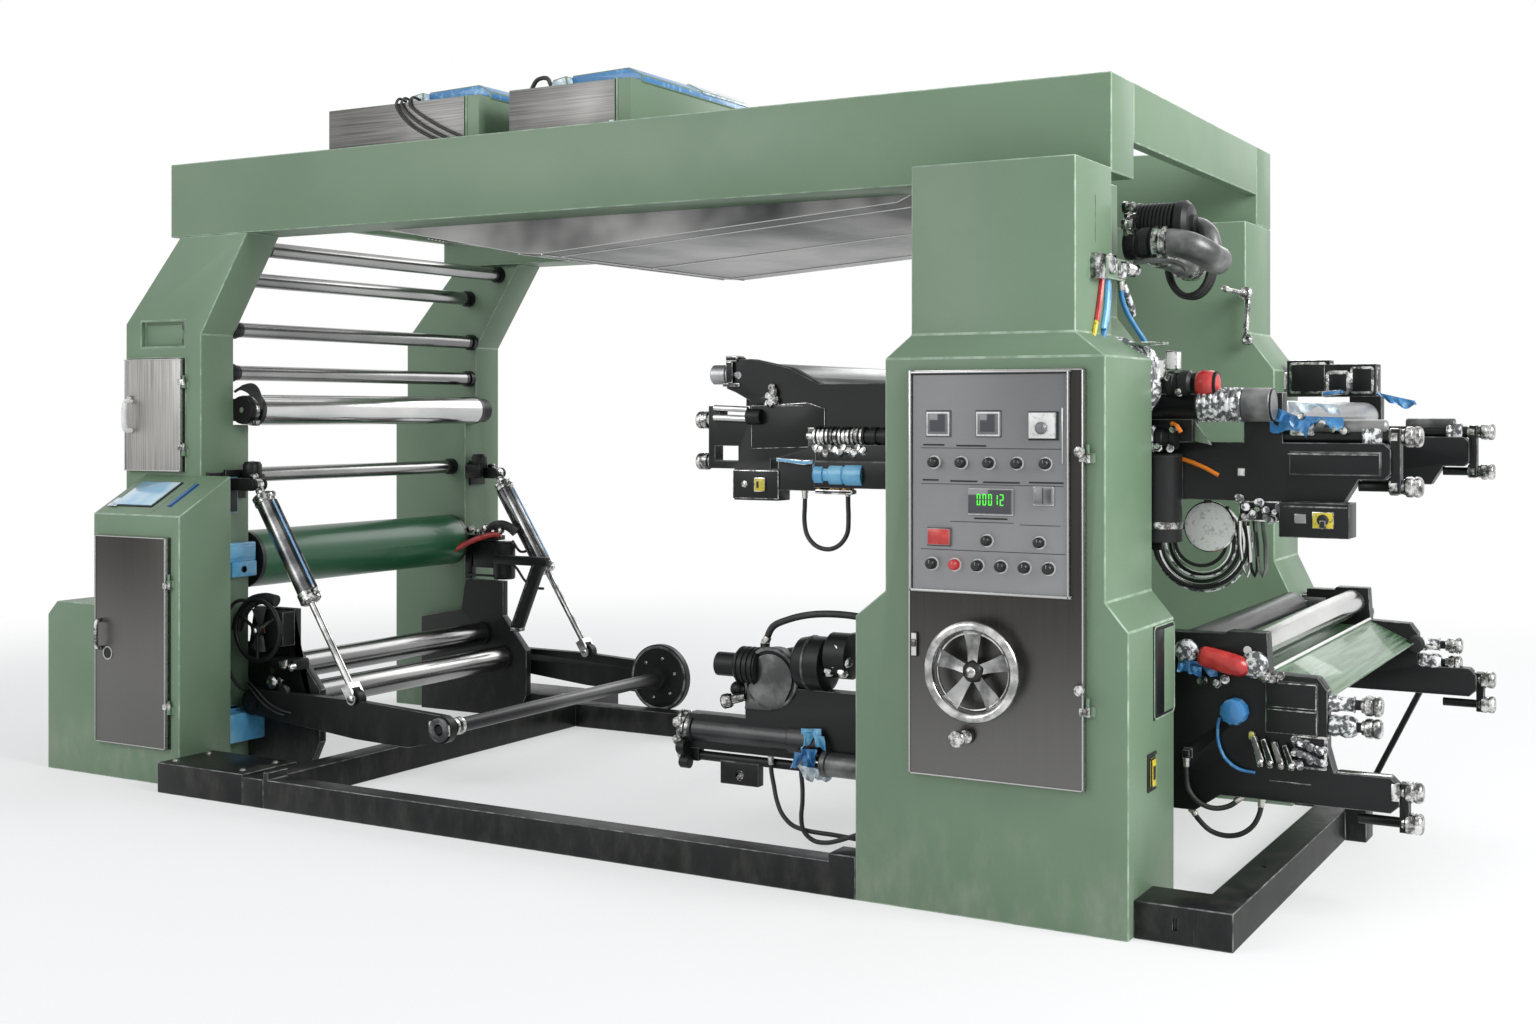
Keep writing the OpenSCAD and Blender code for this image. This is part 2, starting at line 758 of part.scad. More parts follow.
module roller_bearings() {
    color(dark) both_sides() {
        for (line = [guide_1, guide_2, guide_3, guide_4])
            flange_bearing(line, 42, inner_y, inner_y + bearing_t, journal_r);
        flange_bearing(guide_5, 42, foot_inner_y, foot_inner_y + bearing_t, journal_r);
        flange_bearing(drum_line, 75, foot_inner_y, foot_inner_y + bearing_t, journal_r);
        difference() {
            union() {
                rod_y(chrome_line[0], chrome_line[1], 62, inner_y, inner_y + 60);
                block(column_x1 - 90, chrome_line[0], inner_y, inner_y + 60, chrome_line[1] - 50, chrome_line[1] + 50);
            }
            rod_y(chrome_line[0], chrome_line[1], journal_r + run_gap, inner_y - eps, inner_y + 60 + eps);
        }
    }
}

// A roller between two bearings whose inner faces are at y0 and y1
module roller(line, r, y0, y1, shaft_r, shaft_len) {
    rod_y(line[0], line[1], r, y0 + end_gap, y1 - end_gap);
    rod_y(line[0], line[1], shaft_r, y0 - shaft_len, y1 + shaft_len);
}

module web_roller(line, r, wall, width) {
    roller(line, r, wall + width, 2 * mid_y - wall - width, journal_r, width - journal_inset);
}

module guide_roller_1() {
    color(bright) web_roller(guide_1, guide_r, inner_y, bearing_t);
}

module guide_roller_2() {
    color(bright) web_roller(guide_2, guide_r, inner_y, bearing_t);
}

module guide_roller_3() {
    color(bright) web_roller(guide_3, guide_r, inner_y, bearing_t);
}

module guide_roller_4() {
    color(bright) web_roller(guide_4, guide_r, inner_y, bearing_t);
}

module guide_roller_5() {
    color(bright) web_roller(guide_5, guide_r, foot_inner_y, bearing_t);
}

module chrome_roller() {
    color(bright) web_roller(chrome_line, chrome_roller_r, inner_y, 60);
}

module rubber_drum() {
    color(drum_green) web_roller(drum_line, drum_r, foot_inner_y, bearing_t);
}

// Winding station

module winder_side_plates() {
    p = arm_pivot;
    plate = [
        [p[0] - 400, 0], [p[0] + 240, 0], [p[0] + 300, 120], [p[0] + 300, p[1] + 60],
        [p[0] + 150, p[1] + 230], [p[0] + 150, p[1] + 410], [p[0] - 100, p[1] + 410],
        [p[0] - 130, p[1] + 250], [p[0] - 400, p[1] + 200]
    ];
    color(dark) both_sides() difference() {
        union() {
            slab_y(plate, winder_front_y, winder_back_y);
            rod_y(p[0], p[1], pivot_pin_r, arm_y0 - 4, winder_front_y + eps);
            rod_y(p[0], p[1], pivot_pin_r + 14, arm_y0 - 14, arm_y0 - 3);
        }
        rod_y(drum_rear_line[0], drum_rear_line[1], winder_journal_r + run_gap, winder_front_y - eps, winder_back_y + eps);
        rod_y(drum_front_line[0], drum_front_line[1], winder_journal_r + run_gap, winder_front_y - eps, winder_back_y + eps);
    }
    color(dark) difference() {
        block(winder_wheel[0] - 90, winder_wheel[0] + 88, gearbox_y, winder_front_y, winder_wheel[1] - 73, winder_wheel[1] + 77);
        rod_y(winder_wheel[0], winder_wheel[1], winder_shaft_r + run_gap, gearbox_y - eps, gearbox_y + 50);
    }
}

module winding_drum_rear() {
    color(bright) roller(drum_rear_line, winder_r, winder_back_y, 2 * mid_y - winder_back_y, winder_journal_r, winder_plate_t - journal_inset);
}

module winding_drum_front() {
    color(bright) roller(drum_front_line, winder_r, winder_back_y, 2 * mid_y - winder_back_y, winder_journal_r, winder_plate_t - journal_inset);
}

module winder_handwheel() {
    color(dark) {
        ring_y(winder_wheel[0], winder_wheel_y, winder_wheel[1], winder_wheel_r, winder_wheel_tube);
        rod_y(winder_wheel[0], winder_wheel[1], 24, winder_wheel_y - 14, winder_wheel_y + 16);
        rod_y(winder_wheel[0], winder_wheel[1], winder_shaft_r, winder_wheel_y, gearbox_y + 48);
        for (a = [30 : 120 : 270]) translate([winder_wheel[0], winder_wheel_y, winder_wheel[1]])
            rotate([0, a, 0]) cylinder(r = 7, h = winder_wheel_r);
    }
}

module winding_arms() {
    p = arm_pivot;
    e = reel_line;
    web = [
        [p[0], p[1] + 55], [rod_pin[0], rod_pin[1] - 6], [e[0], e[1] + 58],
        [e[0] + 40, e[1] - 42], [e[0] - 180, e[1] - 92], [rod_pin[0], p[1] - 110], [p[0], p[1] - 55]
    ];
    color(dark) both_sides() difference() {
        union() {
            slab_y(web, arm_y0, arm_y1);
            rod_y(p[0], p[1], 60, arm_y0, winder_front_y - arm_gap);
            rod_y(e[0], e[1], 58, arm_y0, arm_y1);
            rod_y(rod_pin[0], rod_pin[1], lug_r, arm_y0, arm_y1);
        }
        rod_y(p[0], p[1], pivot_pin_r + run_gap, arm_y0 - eps, winder_front_y);
        rod_y(e[0], e[1], reel_journal_r + run_gap, arm_y0 - eps, arm_y1 + eps);
        rod_y(rod_pin[0], rod_pin[1], rod_pin_r + rod_pin_play, arm_y0 - eps, arm_y1 + eps);
    }
}

module reel_shaft() {
    far_y = 2 * mid_y;
    e = reel_line;
    color(steel) {
        rod_y(e[0], e[1], reel_shaft_r, arm_y1 + end_gap, far_y - arm_y1 - end_gap);
        rod_y(e[0], e[1], reel_journal_r, arm_y0 - 10, far_y - arm_y0 + 10);
    }
    color(dark) difference() {
        union() {
            rod_y(e[0], e[1], flange_r, flange_y1 - flange_t, flange_y1);
            rod_y(e[0], e[1], 58, flange_y1 - flange_t - 40, flange_y1);
        }
        difference() {
            rod_y(e[0], e[1], flange_r - 18, flange_y1 - flange_t - eps, flange_y1 - flange_t + 12);
            rod_y(e[0], e[1], 58, flange_y1 - flange_t - 2 * eps, flange_y1);
        }
    }
}

module cylinder_brackets() {
    t = top_pin;
    y_eye = ear_t + ear_gap + arm_t / 2;
    color(dark) both_sides() {
        block(column_x1, column_x1 + 15, arm_y - 60, arm_y + 60, t[1] - 65, t[1] + 65);
        for (s = [-1, 1]) {
            y0 = arm_y + s * (y_eye - ear_t / 2) - ear_t / 2;
            block(column_x1 + 15 - eps, t[0], y0, y0 + ear_t, t[1] - 28, t[1] + 28);
            rod_y(t[0], t[1], 28, y0, y0 + ear_t);
        }
        rod_y(t[0], t[1], top_pin_r, arm_y - y_eye, arm_y + y_eye);
    }
    color(dark) block(column_x1, column_x1 + 12, front_y + 30, front_y + 122, t[1] - 105, t[1] + 55);
}

// The cylinder's own line: its upper pin at zero, running down along +X
module on_cylinder() {
    both_sides() translate([top_pin[0], arm_y, top_pin[1]]) rotate([0, cylinder_tilt, 0]) children();
}

module arm_cylinders() {
    color(bright) on_cylinder() difference() {
        union() {
            rod_y(0, 0, 26, -arm_t / 2, arm_t / 2);
            block(0, 62, -15, 15, -18, 18);
            rod_x(0, 0, cylinder_r + 4, 60, 100);
            rod_x(0, 0, cylinder_r, 99, 560);
            rod_x(0, 0, cylinder_r + 4, 559, 600);
        }
        rod_y(0, 0, top_pin_r + run_gap, -arm_t, arm_t);
        rod_x(0, 0, cylinder_r - 10, 115, 560);
        rod_x(0, 0, rod_r + run_gap, 559, 601);
    }
}

module cylinder_rods() {
    y_ear = arm_t / 2 + ear_gap;
    color(bright) on_cylinder() {
        rod_x(0, 0, rod_r, 400, cylinder_span - lug_r - 14);
        rod_x(0, 0, cylinder_r - 10.1, 400, 425);
        block(cylinder_span - lug_r - 30, cylinder_span - lug_r - 6, -y_ear - ear_t, y_ear + ear_t, -22, 22);
        for (s = [-1, 1]) {
            y0 = s * (y_ear + ear_t / 2) - ear_t / 2;
            block(cylinder_span - lug_r - 8, cylinder_span, y0, y0 + ear_t, -22, 22);
            rod_y(cylinder_span, 0, 24, y0, y0 + ear_t);
        }
        rod_y(cylinder_span, 0, rod_pin_r, -y_ear - ear_t, y_ear + ear_t);
    }
}

// Print decks

// A plate in the XZ plane with bores through it: each bore is [x, z, radius]
module bored_plate(outline, y0, y1, bores) {
    difference() {
        slab_y(outline, y0, y1);
        for (b = bores) rod_y(b[0], b[1], b[2], y0 - eps, y1 + eps);
    }
}

// A rod along X that ends in a hand knob, pointing the way of dir
module knobbed_rod(x_from, x_to, z, dir) {
    rod_x(deck_y, z, slide_r, min(x_from, x_to), max(x_from, x_to));
    knob(x_to + dir * knob_len / 2, deck_y, z, dir);
}

// A ribbed sleeve on a screw along X
module ribbed_sleeve(y, z, r, x0, x1, ribs) {
    pitch = (x1 - x0) / ribs;
    rod_x(y, z, r - rib_h, x0, x1);
    for (i = [0 : ribs - 1]) rod_x(y, z, r, x0 + i * pitch, x0 + (i + 0.55) * pitch);
}

module left_upper_side(face) {
    difference() {
        bored_plate([
            [face, left_upper_z[0]], [left_x + 300, left_upper_z[0]], [left_x + 300, left_upper_z[0] - 39],
            [left_x + 30, left_upper_z[0] - 39], [left_x + 30, left_upper_z[0] + 196],
            [left_x + 80, left_upper_z[0] + 196], [left_x + 80, left_upper_z[0] + 156],
            [left_x + 210, left_upper_z[0] + 156], [left_x + 210, left_upper_z[1] - 60],
            [left_x + 150, left_upper_z[1] - 30], [left_x + 110, left_upper_z[1] - 15],
            [left_x + 110, left_upper_z[2]], [left_x + 215, left_upper_z[2]], [left_x + 380, left_upper_z[2] - 35],
            [left_x + 500, left_upper_z[1]], [face, left_upper_z[1]]
        ], deck_y0, deck_y1, [
            [left_upper_line[0], left_upper_line[1], journal_r + run_gap],
            [left_x + 275, left_upper_z[1] - 80, cable_hole_r]
        ]);
        block(left_x + 60, left_x + 160, deck_y0 - eps, deck_y1 + eps, left_upper_z[0] - 9, left_upper_z[0] + 46);
    }
    knobbed_rod(left_x + 111, left_x + 70, left_upper_rods[0], -1);
    for (i = [1, 2]) knobbed_rod(left_x + 31, left_x, left_upper_rods[i], -1);
}

module left_upper_deck() {
    near = left_mid_x + inner_inset;
    screw_y = deck_y0 - 60;
    color(dark) {
        left_upper_side(near);
        to_rear() left_upper_side(left_mid_x);
        block(left_x + 160, left_x + 350, deck_y0 - 30, deck_y1, left_upper_z[0] - 154, left_upper_z[0] - 38);
        block(left_x + 349, left_x + 560, deck_y0 - 30, deck_y1, hose_block_z, left_upper_z[0] + eps);
        block(sleeve_x + 6, near, deck_y0 - 80, deck_y0, left_upper_z[0] - 5, left_screw_z - 30);
    }
    color(bright) ribbed_sleeve(screw_y, left_screw_z, 34, sleeve_x, near, 14);
    color([0.15, 0.45, 0.72]) block(sleeve_x + 6, near, deck_y0 - 90, deck_y0 - 30, left_motor_z, left_upper_z[0] - 4);
}

module left_upper_roller() {
    color(steel) roller(left_upper_line, deck_roller_r - 5, deck_y1, 2 * mid_y - deck_y1, journal_r, deck_t - journal_inset);
}

module left_lower_side(face) {
    guard_x = left_x + 302;
    difference() {
        union() {
            block(left_x - 60, face, deck_y0, deck_y1, arm_z[0], arm_z[1]);
            block(left_x + 190, left_x + 414, deck_y0, deck_y1, arm_z[1] - eps, guard_z);
            rod_y(guard_x, guard_z, guard_r, deck_y0, deck_y1);
            block(left_x + 400, face, deck_y0, deck_y1, arm_z[1] - eps, guard_z - 30);
            rod_x(deck_y, guard_z + 35, 45, left_x + 60, left_x + 200);
        }
        rod_y(left_lower_line[0], left_lower_line[1], journal_r + run_gap, deck_y0 - eps, deck_y1 + eps);
    }
    rod_x(deck_y, left_lower_rods[1], slide_r + 2, left_x - 50, face);
    block(left_x - 62, left_x - 20, deck_y0 + 8, deck_y1 - 8, left_lower_rods[1] - 20, arm_z[0] + eps);
    for (z = left_lower_rods) knob(left_x - 116, deck_y, z, -1);
    knobbed_rod(left_x + 191, left_x + 150, guard_z - 55, -1);
    difference() {
        block(left_x + 76, left_x + 242, deck_y0 + 10, deck_y1 - 10, left_lower_rods[1] - 93, left_lower_rods[1] - 8);
        rod_y(left_x + 160, left_lower_rods[1] - 55, lug_hole_r, deck_y0, deck_y1);
    }
}

module left_lower_deck() {
    near = left_foot_x + inner_inset;
    socket = left_arched_route[0];
    color(dark) {
        left_lower_side(near);
        to_rear() left_lower_side(left_foot_x);
        rod_z(socket[0], socket[1], arched_hose_r + 5, guard_z, socket[2]);
    }
}

module left_lower_roller() {
    color(dark) roller(left_lower_line, left_lower_r, deck_y1, 2 * mid_y - deck_y1, journal_r, deck_t - journal_inset);
}

module right_upper_side(face) {
    line = upper_roller_line;
    z = right_upper_z;
    difference() {
        union() {
            slab_y([
                [face, z[0]], [right_x - 200, z[0]], [right_x - 155, z[0] + 73], [right_x - 80, z[0] + 73],
                [right_x - 60, z[0] + 93], [right_x - 60, z[1] - 20], [right_x - 80, z[1]], [face, z[1]]
            ], deck_y0, deck_y1);
            block(line[0] - 62, line[0] + 62, deck_y0, deck_y1, z[1] - eps, line[1] + 80);
        }
        rod_y(line[0], line[1], journal_r + run_gap, deck_y0 - eps, deck_y1 + eps);
    }
    block(right_x - 62, right_x - 32, deck_y0 + 8, deck_y1 - 8, right_upper_rods[1] - 23, right_upper_rods[0] + 25);
    rod_x(deck_y, right_upper_rods[0], slide_r + 6, line[0] + 62 - eps, right_x - 60);
    knobbed_rod(right_x - 61, right_x, right_upper_rods[0], 1);
    knobbed_rod(right_x - 160, right_x, right_upper_rods[1], 1);
}

module right_upper_deck() {
    near = right_mid_x - inner_inset;
    screw_y = deck_y0 - 62;
    valve_y = deck_y0 - 70;
    color(dark) {
        right_upper_side(near);
        to_rear() right_upper_side(right_mid_x);
        block(right_x - 389, right_x - 174, deck_y0 - 50, deck_y1, right_upper_z[0] - 109, right_upper_z[0] + eps);
        block(right_x - 365, right_x - 90, deck_y0 - 12, deck_y1, right_upper_z[1] - 100, right_upper_z[1] - 30);
        rod_z(near + 92, deck_y0 - 30, 74, right_motor_z, right_upper_z[1] - 44);
        rod_x(valve_y, valve_z, 38, near, 60);
        block(near, 40, deck_y0 - 62, deck_y0, right_upper_z[1] - eps, screw_z + 50);
        to_rear() {
            block(near + 112, near + 282, deck_y0 - 20, deck_y1, screw_z + 40, screw_z + 188);
            block(near + 262, near + 465, deck_y0 - 30, deck_y1 + 4, screw_z + 39, screw_z + 170);
        }
    }
    color(dark) rod_x(screw_y, screw_z, 46, near, 60);
    color(bright) {
        ribbed_sleeve(screw_y, screw_z, 50, 59, 205, 7);
        ribbed_sleeve(deck_y0 - 80, screw_z - 110, 40, near, near + 100, 8);
        rod_x(deck_y0 - 80, screw_z - 110, 27, near + 99, near + 160);
        block(near + 54, near + 132, valve_y - 30, valve_y + 34, valve_z + 20, manifold_z);
    }
    color(steel) rod_x(screw_y, screw_z, 52, 204, 300);
    color([0.75, 0.08, 0.08]) rod_x(valve_y, valve_z, 42, 59, 125);
}

module right_upper_roller() {
    color(steel) roller(upper_roller_line, deck_roller_r, deck_y1 + 6, 2 * mid_y - deck_y1 - 6, journal_r, deck_t + 6 - journal_inset);
}

module right_lower_side(face, lift) {
    a = anilox_line;
    z0 = right_arm_z[0] + lift;
    z1 = right_arm_z[1] + lift;
    bores = lift == 0
        ? [[a[0], a[1], journal_r + run_gap], [ink_line[0], ink_line[1], journal_r + run_gap]]
        : [[a[0], a[1], journal_r + run_gap]];
    bored_plate([
        [face, z0], [right_x - 60, z0], [right_x - 34, z0 + 26], [right_x - 34, z1 - 26],
        [right_x - 60, z1], [right_x - 230, z1], [right_x - 250, z1 + 73 - lift / 2],
        [right_x - 250, tray_z - 45], [right_x - 280, tray_z - 5], [a[0] + 70, tray_z],
        [a[0] + 62, a[1] + 60], [a[0] - 62, a[1] + 60], [a[0] - 72, a[1] + 48], [face, a[1] + 48]
    ], deck_y0, deck_y1, bores);
    block(right_x - 36, right_x - 8, deck_y0 + 8, deck_y1 - 8, z0 - 58, z1 - 15);
    rod_x(deck_y, right_lower_rods[1] + lift, slide_r, right_x - 160, right_x - 20);
    for (z = right_lower_rods) knobbed_rod(right_x - 36, right_x, z + lift, 1);
    for (z = ink_rods) knobbed_rod(right_x - 251, right_x - 120, z, 1);
}

module right_lower_deck() {
    near = -inner_inset;
    foot_slot = [press_foot_z, press_foot_z + 70];
    y_ink = rear_y - press_rear_t;
    color(dark) {
        difference() {
            right_lower_side(near, 0);
            block(near - eps, near + 20, deck_y0 - eps, deck_y1 + eps, foot_slot[0], foot_slot[1]);
        }
        slab_y([
            [near, right_arm_z[0] + eps], [near, right_arm_z[0] - 58], [30, right_arm_z[0] - 58],
            [112, right_arm_z[0]], [112, right_arm_z[0] + eps]
        ], deck_y0, deck_y1);
        block(right_x - 440, right_x - 281, deck_y0 - 16, deck_y0, tray_z - 188, tray_z - 24);
        block(-4, 20, deck_y0 - 30, deck_y0, right_inner_route[0][2], right_inner_route[0][2] + 28);
        to_rear() difference() {
            right_lower_side(0, rear_lift);
            block(-eps, 20, deck_y0 - eps, deck_y1 + eps, foot_slot[0], foot_slot[1]);
        }
        difference() {
            block(ink_line[0] - 55, ink_line[0] + 55, y_ink - 30, y_ink, ink_line[1] - 55, ink_line[1] + 28);
            rod_y(ink_line[0], ink_line[1], journal_r + run_gap, y_ink - 31, y_ink + 1);
        }
        to_rear() slab_y([
            [side_rail_x0 + 86, base_h], [side_rail_x0 + 112, base_h],
            [side_rail_x0 + 282, right_arm_z[0] + rear_lift], [side_rail_x0 + 256, right_arm_z[0] + rear_lift]
        ], deck_y1 - 24, deck_y1 - 10);
    }
    color([0.15, 0.45, 0.72]) rod_y(right_x - 535, 615, 38, deck_y0 - 50, deck_y0);
}

module right_ink_roller() {
    y1 = rear_y - press_rear_t - 30;
    color(dark) {
        rod_y(ink_line[0], ink_line[1], ink_roller_r, deck_y1 + end_gap, y1 - end_gap);
        rod_y(ink_line[0], ink_line[1], journal_r, deck_y0 + journal_inset, y1 + 27);
    }
}

module right_anilox_roller() {
    color(bright) roller(anilox_line, anilox_r, deck_y1, 2 * mid_y - deck_y1, journal_r, deck_t - journal_inset);
}

module ink_tray() {
    t = tray_t;
    z = tray_z;
    color(paint) slab_y([
        [120, z], [132, z - 23 - t], [244, z - 23 - t], [266, z - 1 - t], [430, z - 80 - t], [444, z - 73 - t],
        [444, z - 73], [430, z - 79], [266, z], [244, z - 23], [134, z - 23], [126, z]
    ], deck_y1 + tray_gap, 2 * mid_y - deck_y1 - tray_gap);
}

module hose_coil() {
    c = coil_centre;
    color([0.85, 0.85, 0.86]) {
        rod_y(c[0] + 28, c[1] + 48, disc_r, deck_y1 - 10, deck_y1 + 2);
        block(c[0] + 15, c[0] + 41, deck_y1 - 14, deck_y1, c[1] + 110, right_upper_z[0]);
    }
    color([0.3, 0.3, 0.32]) ring_y(c[0], deck_y1 + 10, c[1], coil_r, coil_tube_r);
}

// Hoses: a tube swept along its route. Its ends are square to the given directions,
// so that they sit flat on the faces that they leave and enter.

function unit(v) = v / norm(v);

function hose_run(route, i, ends) =
    i == 0 ? ends[0] : i == len(route) - 1 ? ends[1] : unit(route[i + 1] - route[i - 1]);

function hose_ring(centre, run, r) = let (
    side = unit(cross(run, [0, 1, 0])), up = cross(side, run)
) [for (k = [0 : hose_sides - 1]) centre + r * (cos(k * 360 / hose_sides) * side + sin(k * 360 / hose_sides) * up)];

module hose(route, r, ends) {
    n = hose_sides;
    last = len(route) - 1;
    rings = [for (i = [0 : last]) each hose_ring(route[i], hose_run(route, i, ends), r)];
    walls = [for (i = [0 : last - 1], k = [0 : n - 1]) let (a = i * n + k, b = i * n + (k + 1) % n)
        each [[a, b, a + n], [b, b + n, a + n]]];
    caps = [[for (k = [n - 1 : -1 : 0]) k], [for (k = [0 : n - 1]) last * n + k]];
    polyhedron(points = rings, faces = concat(walls, caps), convexity = 8);
}

module left_upper_hose() {
    color(dark) hose(left_upper_route, hose_r, [[0, 0, -1], [0, 0, 1]]);
}

module left_lower_hose() {
    color(dark) hose(left_lower_route, hose_r, [[0, 0, -1], [1, 0, 0]]);
}

module left_looped_hose() {
    color(dark) hose(left_looped_route, hose_r, [[0, 0, -1], [1, 0, 0]]);
}

module left_arched_hose() {
    color(dark) hose(left_arched_route, arched_hose_r, [[0, 0, 1], [1, 0, 0]]);
}

module right_inner_hose() {
    color(dark) hose(right_inner_route, hose_r, [[0, 0, -1], [0, 0, 1]]);
}

module right_outer_hose() {
    color(dark) hose(right_outer_route, hose_r, [[0, 0, -1], [0, 0, 1]]);
}

module neck_hose() {
    color([0.15, 0.45, 0.72]) hose(neck_route, hose_r, [[0, 0, -1], [0, 0, -1]]);
}

place() base_front_rail();
place() base_rear_rail();
place() base_left_crossbar();
place() base_right_rail();
place() front_left_column();
place() rear_left_column();
place() front_right_column();
place() rear_right_column();
place() front_beam();
place() rear_beam();
place() cross_panels();
place() dryer_hood();
place() blower_boxes();
place() blower_motor();
place() console_cabinet();
place() console_upper_door();
place() console_lower_door();
place() control_cabinet();
place() control_door();
place() instrument_panel();
place() control_handwheel();
place() roller_bearings();
place() guide_roller_1();
place() guide_roller_2();
place() guide_roller_3();
place() guide_roller_4();
place() guide_roller_5();
place() chrome_roller();
place() rubber_drum();
place() winder_side_plates();
place() winding_drum_rear();
place() winding_drum_front();
place() winder_handwheel();
place() winding_arms();
place() reel_shaft();
place() cylinder_brackets();
place() arm_cylinders();
place() cylinder_rods();
place() left_upper_deck();
place() left_upper_roller();
place() left_lower_deck();
place() left_lower_roller();
place() right_upper_deck();
place() right_upper_roller();
place() right_lower_deck();
place() right_ink_roller();
place() right_anilox_roller();
place() ink_tray();
place() hose_coil();
place() left_upper_hose();
place() left_lower_hose();
place() left_looped_hose();
place() left_arched_hose();
place() right_inner_hose();
place() right_outer_hose();
place() neck_hose();
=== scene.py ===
import math
import bpy
import bmesh
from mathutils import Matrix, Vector


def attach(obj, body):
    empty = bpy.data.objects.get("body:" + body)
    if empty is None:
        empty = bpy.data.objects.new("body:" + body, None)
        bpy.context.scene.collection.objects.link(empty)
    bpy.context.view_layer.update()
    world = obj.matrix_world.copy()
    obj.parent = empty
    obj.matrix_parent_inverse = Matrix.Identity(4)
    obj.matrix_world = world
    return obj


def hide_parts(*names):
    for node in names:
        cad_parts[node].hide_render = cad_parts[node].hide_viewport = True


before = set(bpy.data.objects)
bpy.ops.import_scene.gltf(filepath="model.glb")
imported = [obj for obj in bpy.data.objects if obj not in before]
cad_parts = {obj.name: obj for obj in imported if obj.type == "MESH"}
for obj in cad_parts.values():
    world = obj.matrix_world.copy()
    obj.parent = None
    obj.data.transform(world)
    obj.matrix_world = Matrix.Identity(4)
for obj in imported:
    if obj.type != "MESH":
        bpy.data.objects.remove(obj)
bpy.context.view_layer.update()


# Camera: it stands in front of the machine's right end at a person's eye height and looks
# along the control cabinet towards the winding station.
lens = bpy.data.cameras.new("camera")
lens.lens = 41.02
lens.sensor_width = 36
lens.shift_y = -0.0647
lens.clip_end = 60
camera = bpy.data.objects.new("camera", lens)
camera.location = (3.772, -6.2395, 1.575)
camera.rotation_euler = (math.radians(90), 0, math.radians(29.71))
bpy.context.scene.collection.objects.link(camera)
bpy.context.scene.camera = camera


# Oil and air hoses: black rubber hose with a woven cover, pressed into fittings on the
# decks. Each one hangs in its own loop and goes back into the machine's frame.
class Wire:
    """One output of a shader node. Sums written on it add Math nodes."""

    def __init__(self, finish, socket):
        self.finish, self.socket = finish, socket

    def sum(self, operation, *terms):
        return self.finish.node("ShaderNodeMath", {"operation": operation}, dict(enumerate(terms)))

    def __add__(self, other):
        return self.sum("ADD", self, other)

    def __sub__(self, other):
        return self.sum("SUBTRACT", self, other)

    def __rsub__(self, other):
        return self.sum("SUBTRACT", other, self)

    def __mul__(self, other):
        return self.sum("MULTIPLY", self, other)

    __radd__, __rmul__ = __add__, __mul__

    def fade(self, low, high):
        """0 below low, 1 above high, smooth between. With low over high it falls."""
        return self.finish.node("ShaderNodeMapRange", {"interpolation_type": "SMOOTHSTEP"},
                                {"Value": self, "From Min": low, "From Max": high})


class Finish:
    """A surface finish: one Principled shader and the nodes that feed it."""

    def __init__(self, name, color, roughness, metallic=0.0, coat=0.0, **fixed):
        self.material = bpy.data.materials.new(name)
        self.material.use_nodes = True
        self.tree = self.material.node_tree
        self.shader = self.tree.nodes["Principled BSDF"]
        self.color = (*color, 1)
        self.set(**{"Base Color": self.color, "Roughness": roughness, "Metallic": metallic,
                    "Coat Weight": coat, **fixed})
        self.place = self.node("ShaderNodeTexCoord", output="Object")
        self.along = self.node("ShaderNodeSeparateXYZ", {}, {0: self.place}, "Z")

    def node(self, kind, settings=None, inputs=None, output=0):
        made = self.tree.nodes.new(kind)
        for key, value in (settings or {}).items():
            if key == "stops":
                for stop, (at_, color_) in zip(made.color_ramp.elements, value):
                    stop.position, stop.color = at_, (*color_, 1)
            else:
                setattr(made, key, value)
        for key, value in (inputs or {}).items():
            self.feed(made.inputs[key], value)
        return Wire(self, made.outputs[output])

    def feed(self, socket, value):
        if isinstance(value, Wire):
            self.tree.links.new(value.socket, socket)
        else:
            socket.default_value = value

    def set(self, **values):
        for key, value in values.items():
            self.feed(self.shader.inputs[key], value)
        return self

    def noise(self, scale, stretch=(1, 1, 1), detail=3.0, roughness=0.55):
        spot = self.node("ShaderNodeMapping", {}, {"Vector": self.place, "Scale": stretch})
        return self.node("ShaderNodeTexNoise", {}, {"Vector": spot, "Scale": scale, "Detail": detail,
                                                    "Roughness": roughness})

    def blend(self, amount, first, second):
        """First colour where amount is 0, second where it is 1."""
        made = self.tree.nodes.new("ShaderNodeMix")
        made.data_type = "RGBA"
        for key, value in ((0, amount), (6, first), (7, second)):
            if not isinstance(value, Wire) and key:
                value = (*value[:3], 1)
            self.feed(made.inputs[key], value)
        return Wire(self, made.outputs[2])

    def bump(self, height, depth, strength=1.0):
        """Raises the surface by height times depth, in metres."""
        self.set(Normal=self.node("ShaderNodeBump", {}, {"Height": height, "Distance": depth,
                                                         "Strength": strength}))
        return self


def at(x, y, z):
    """The machine's own millimetres, from the cabinet's lower front corner, in the frame's metres."""
    return Vector(((x + 2125) / 1000, (y - 1190.5) / 1000, z / 1000))


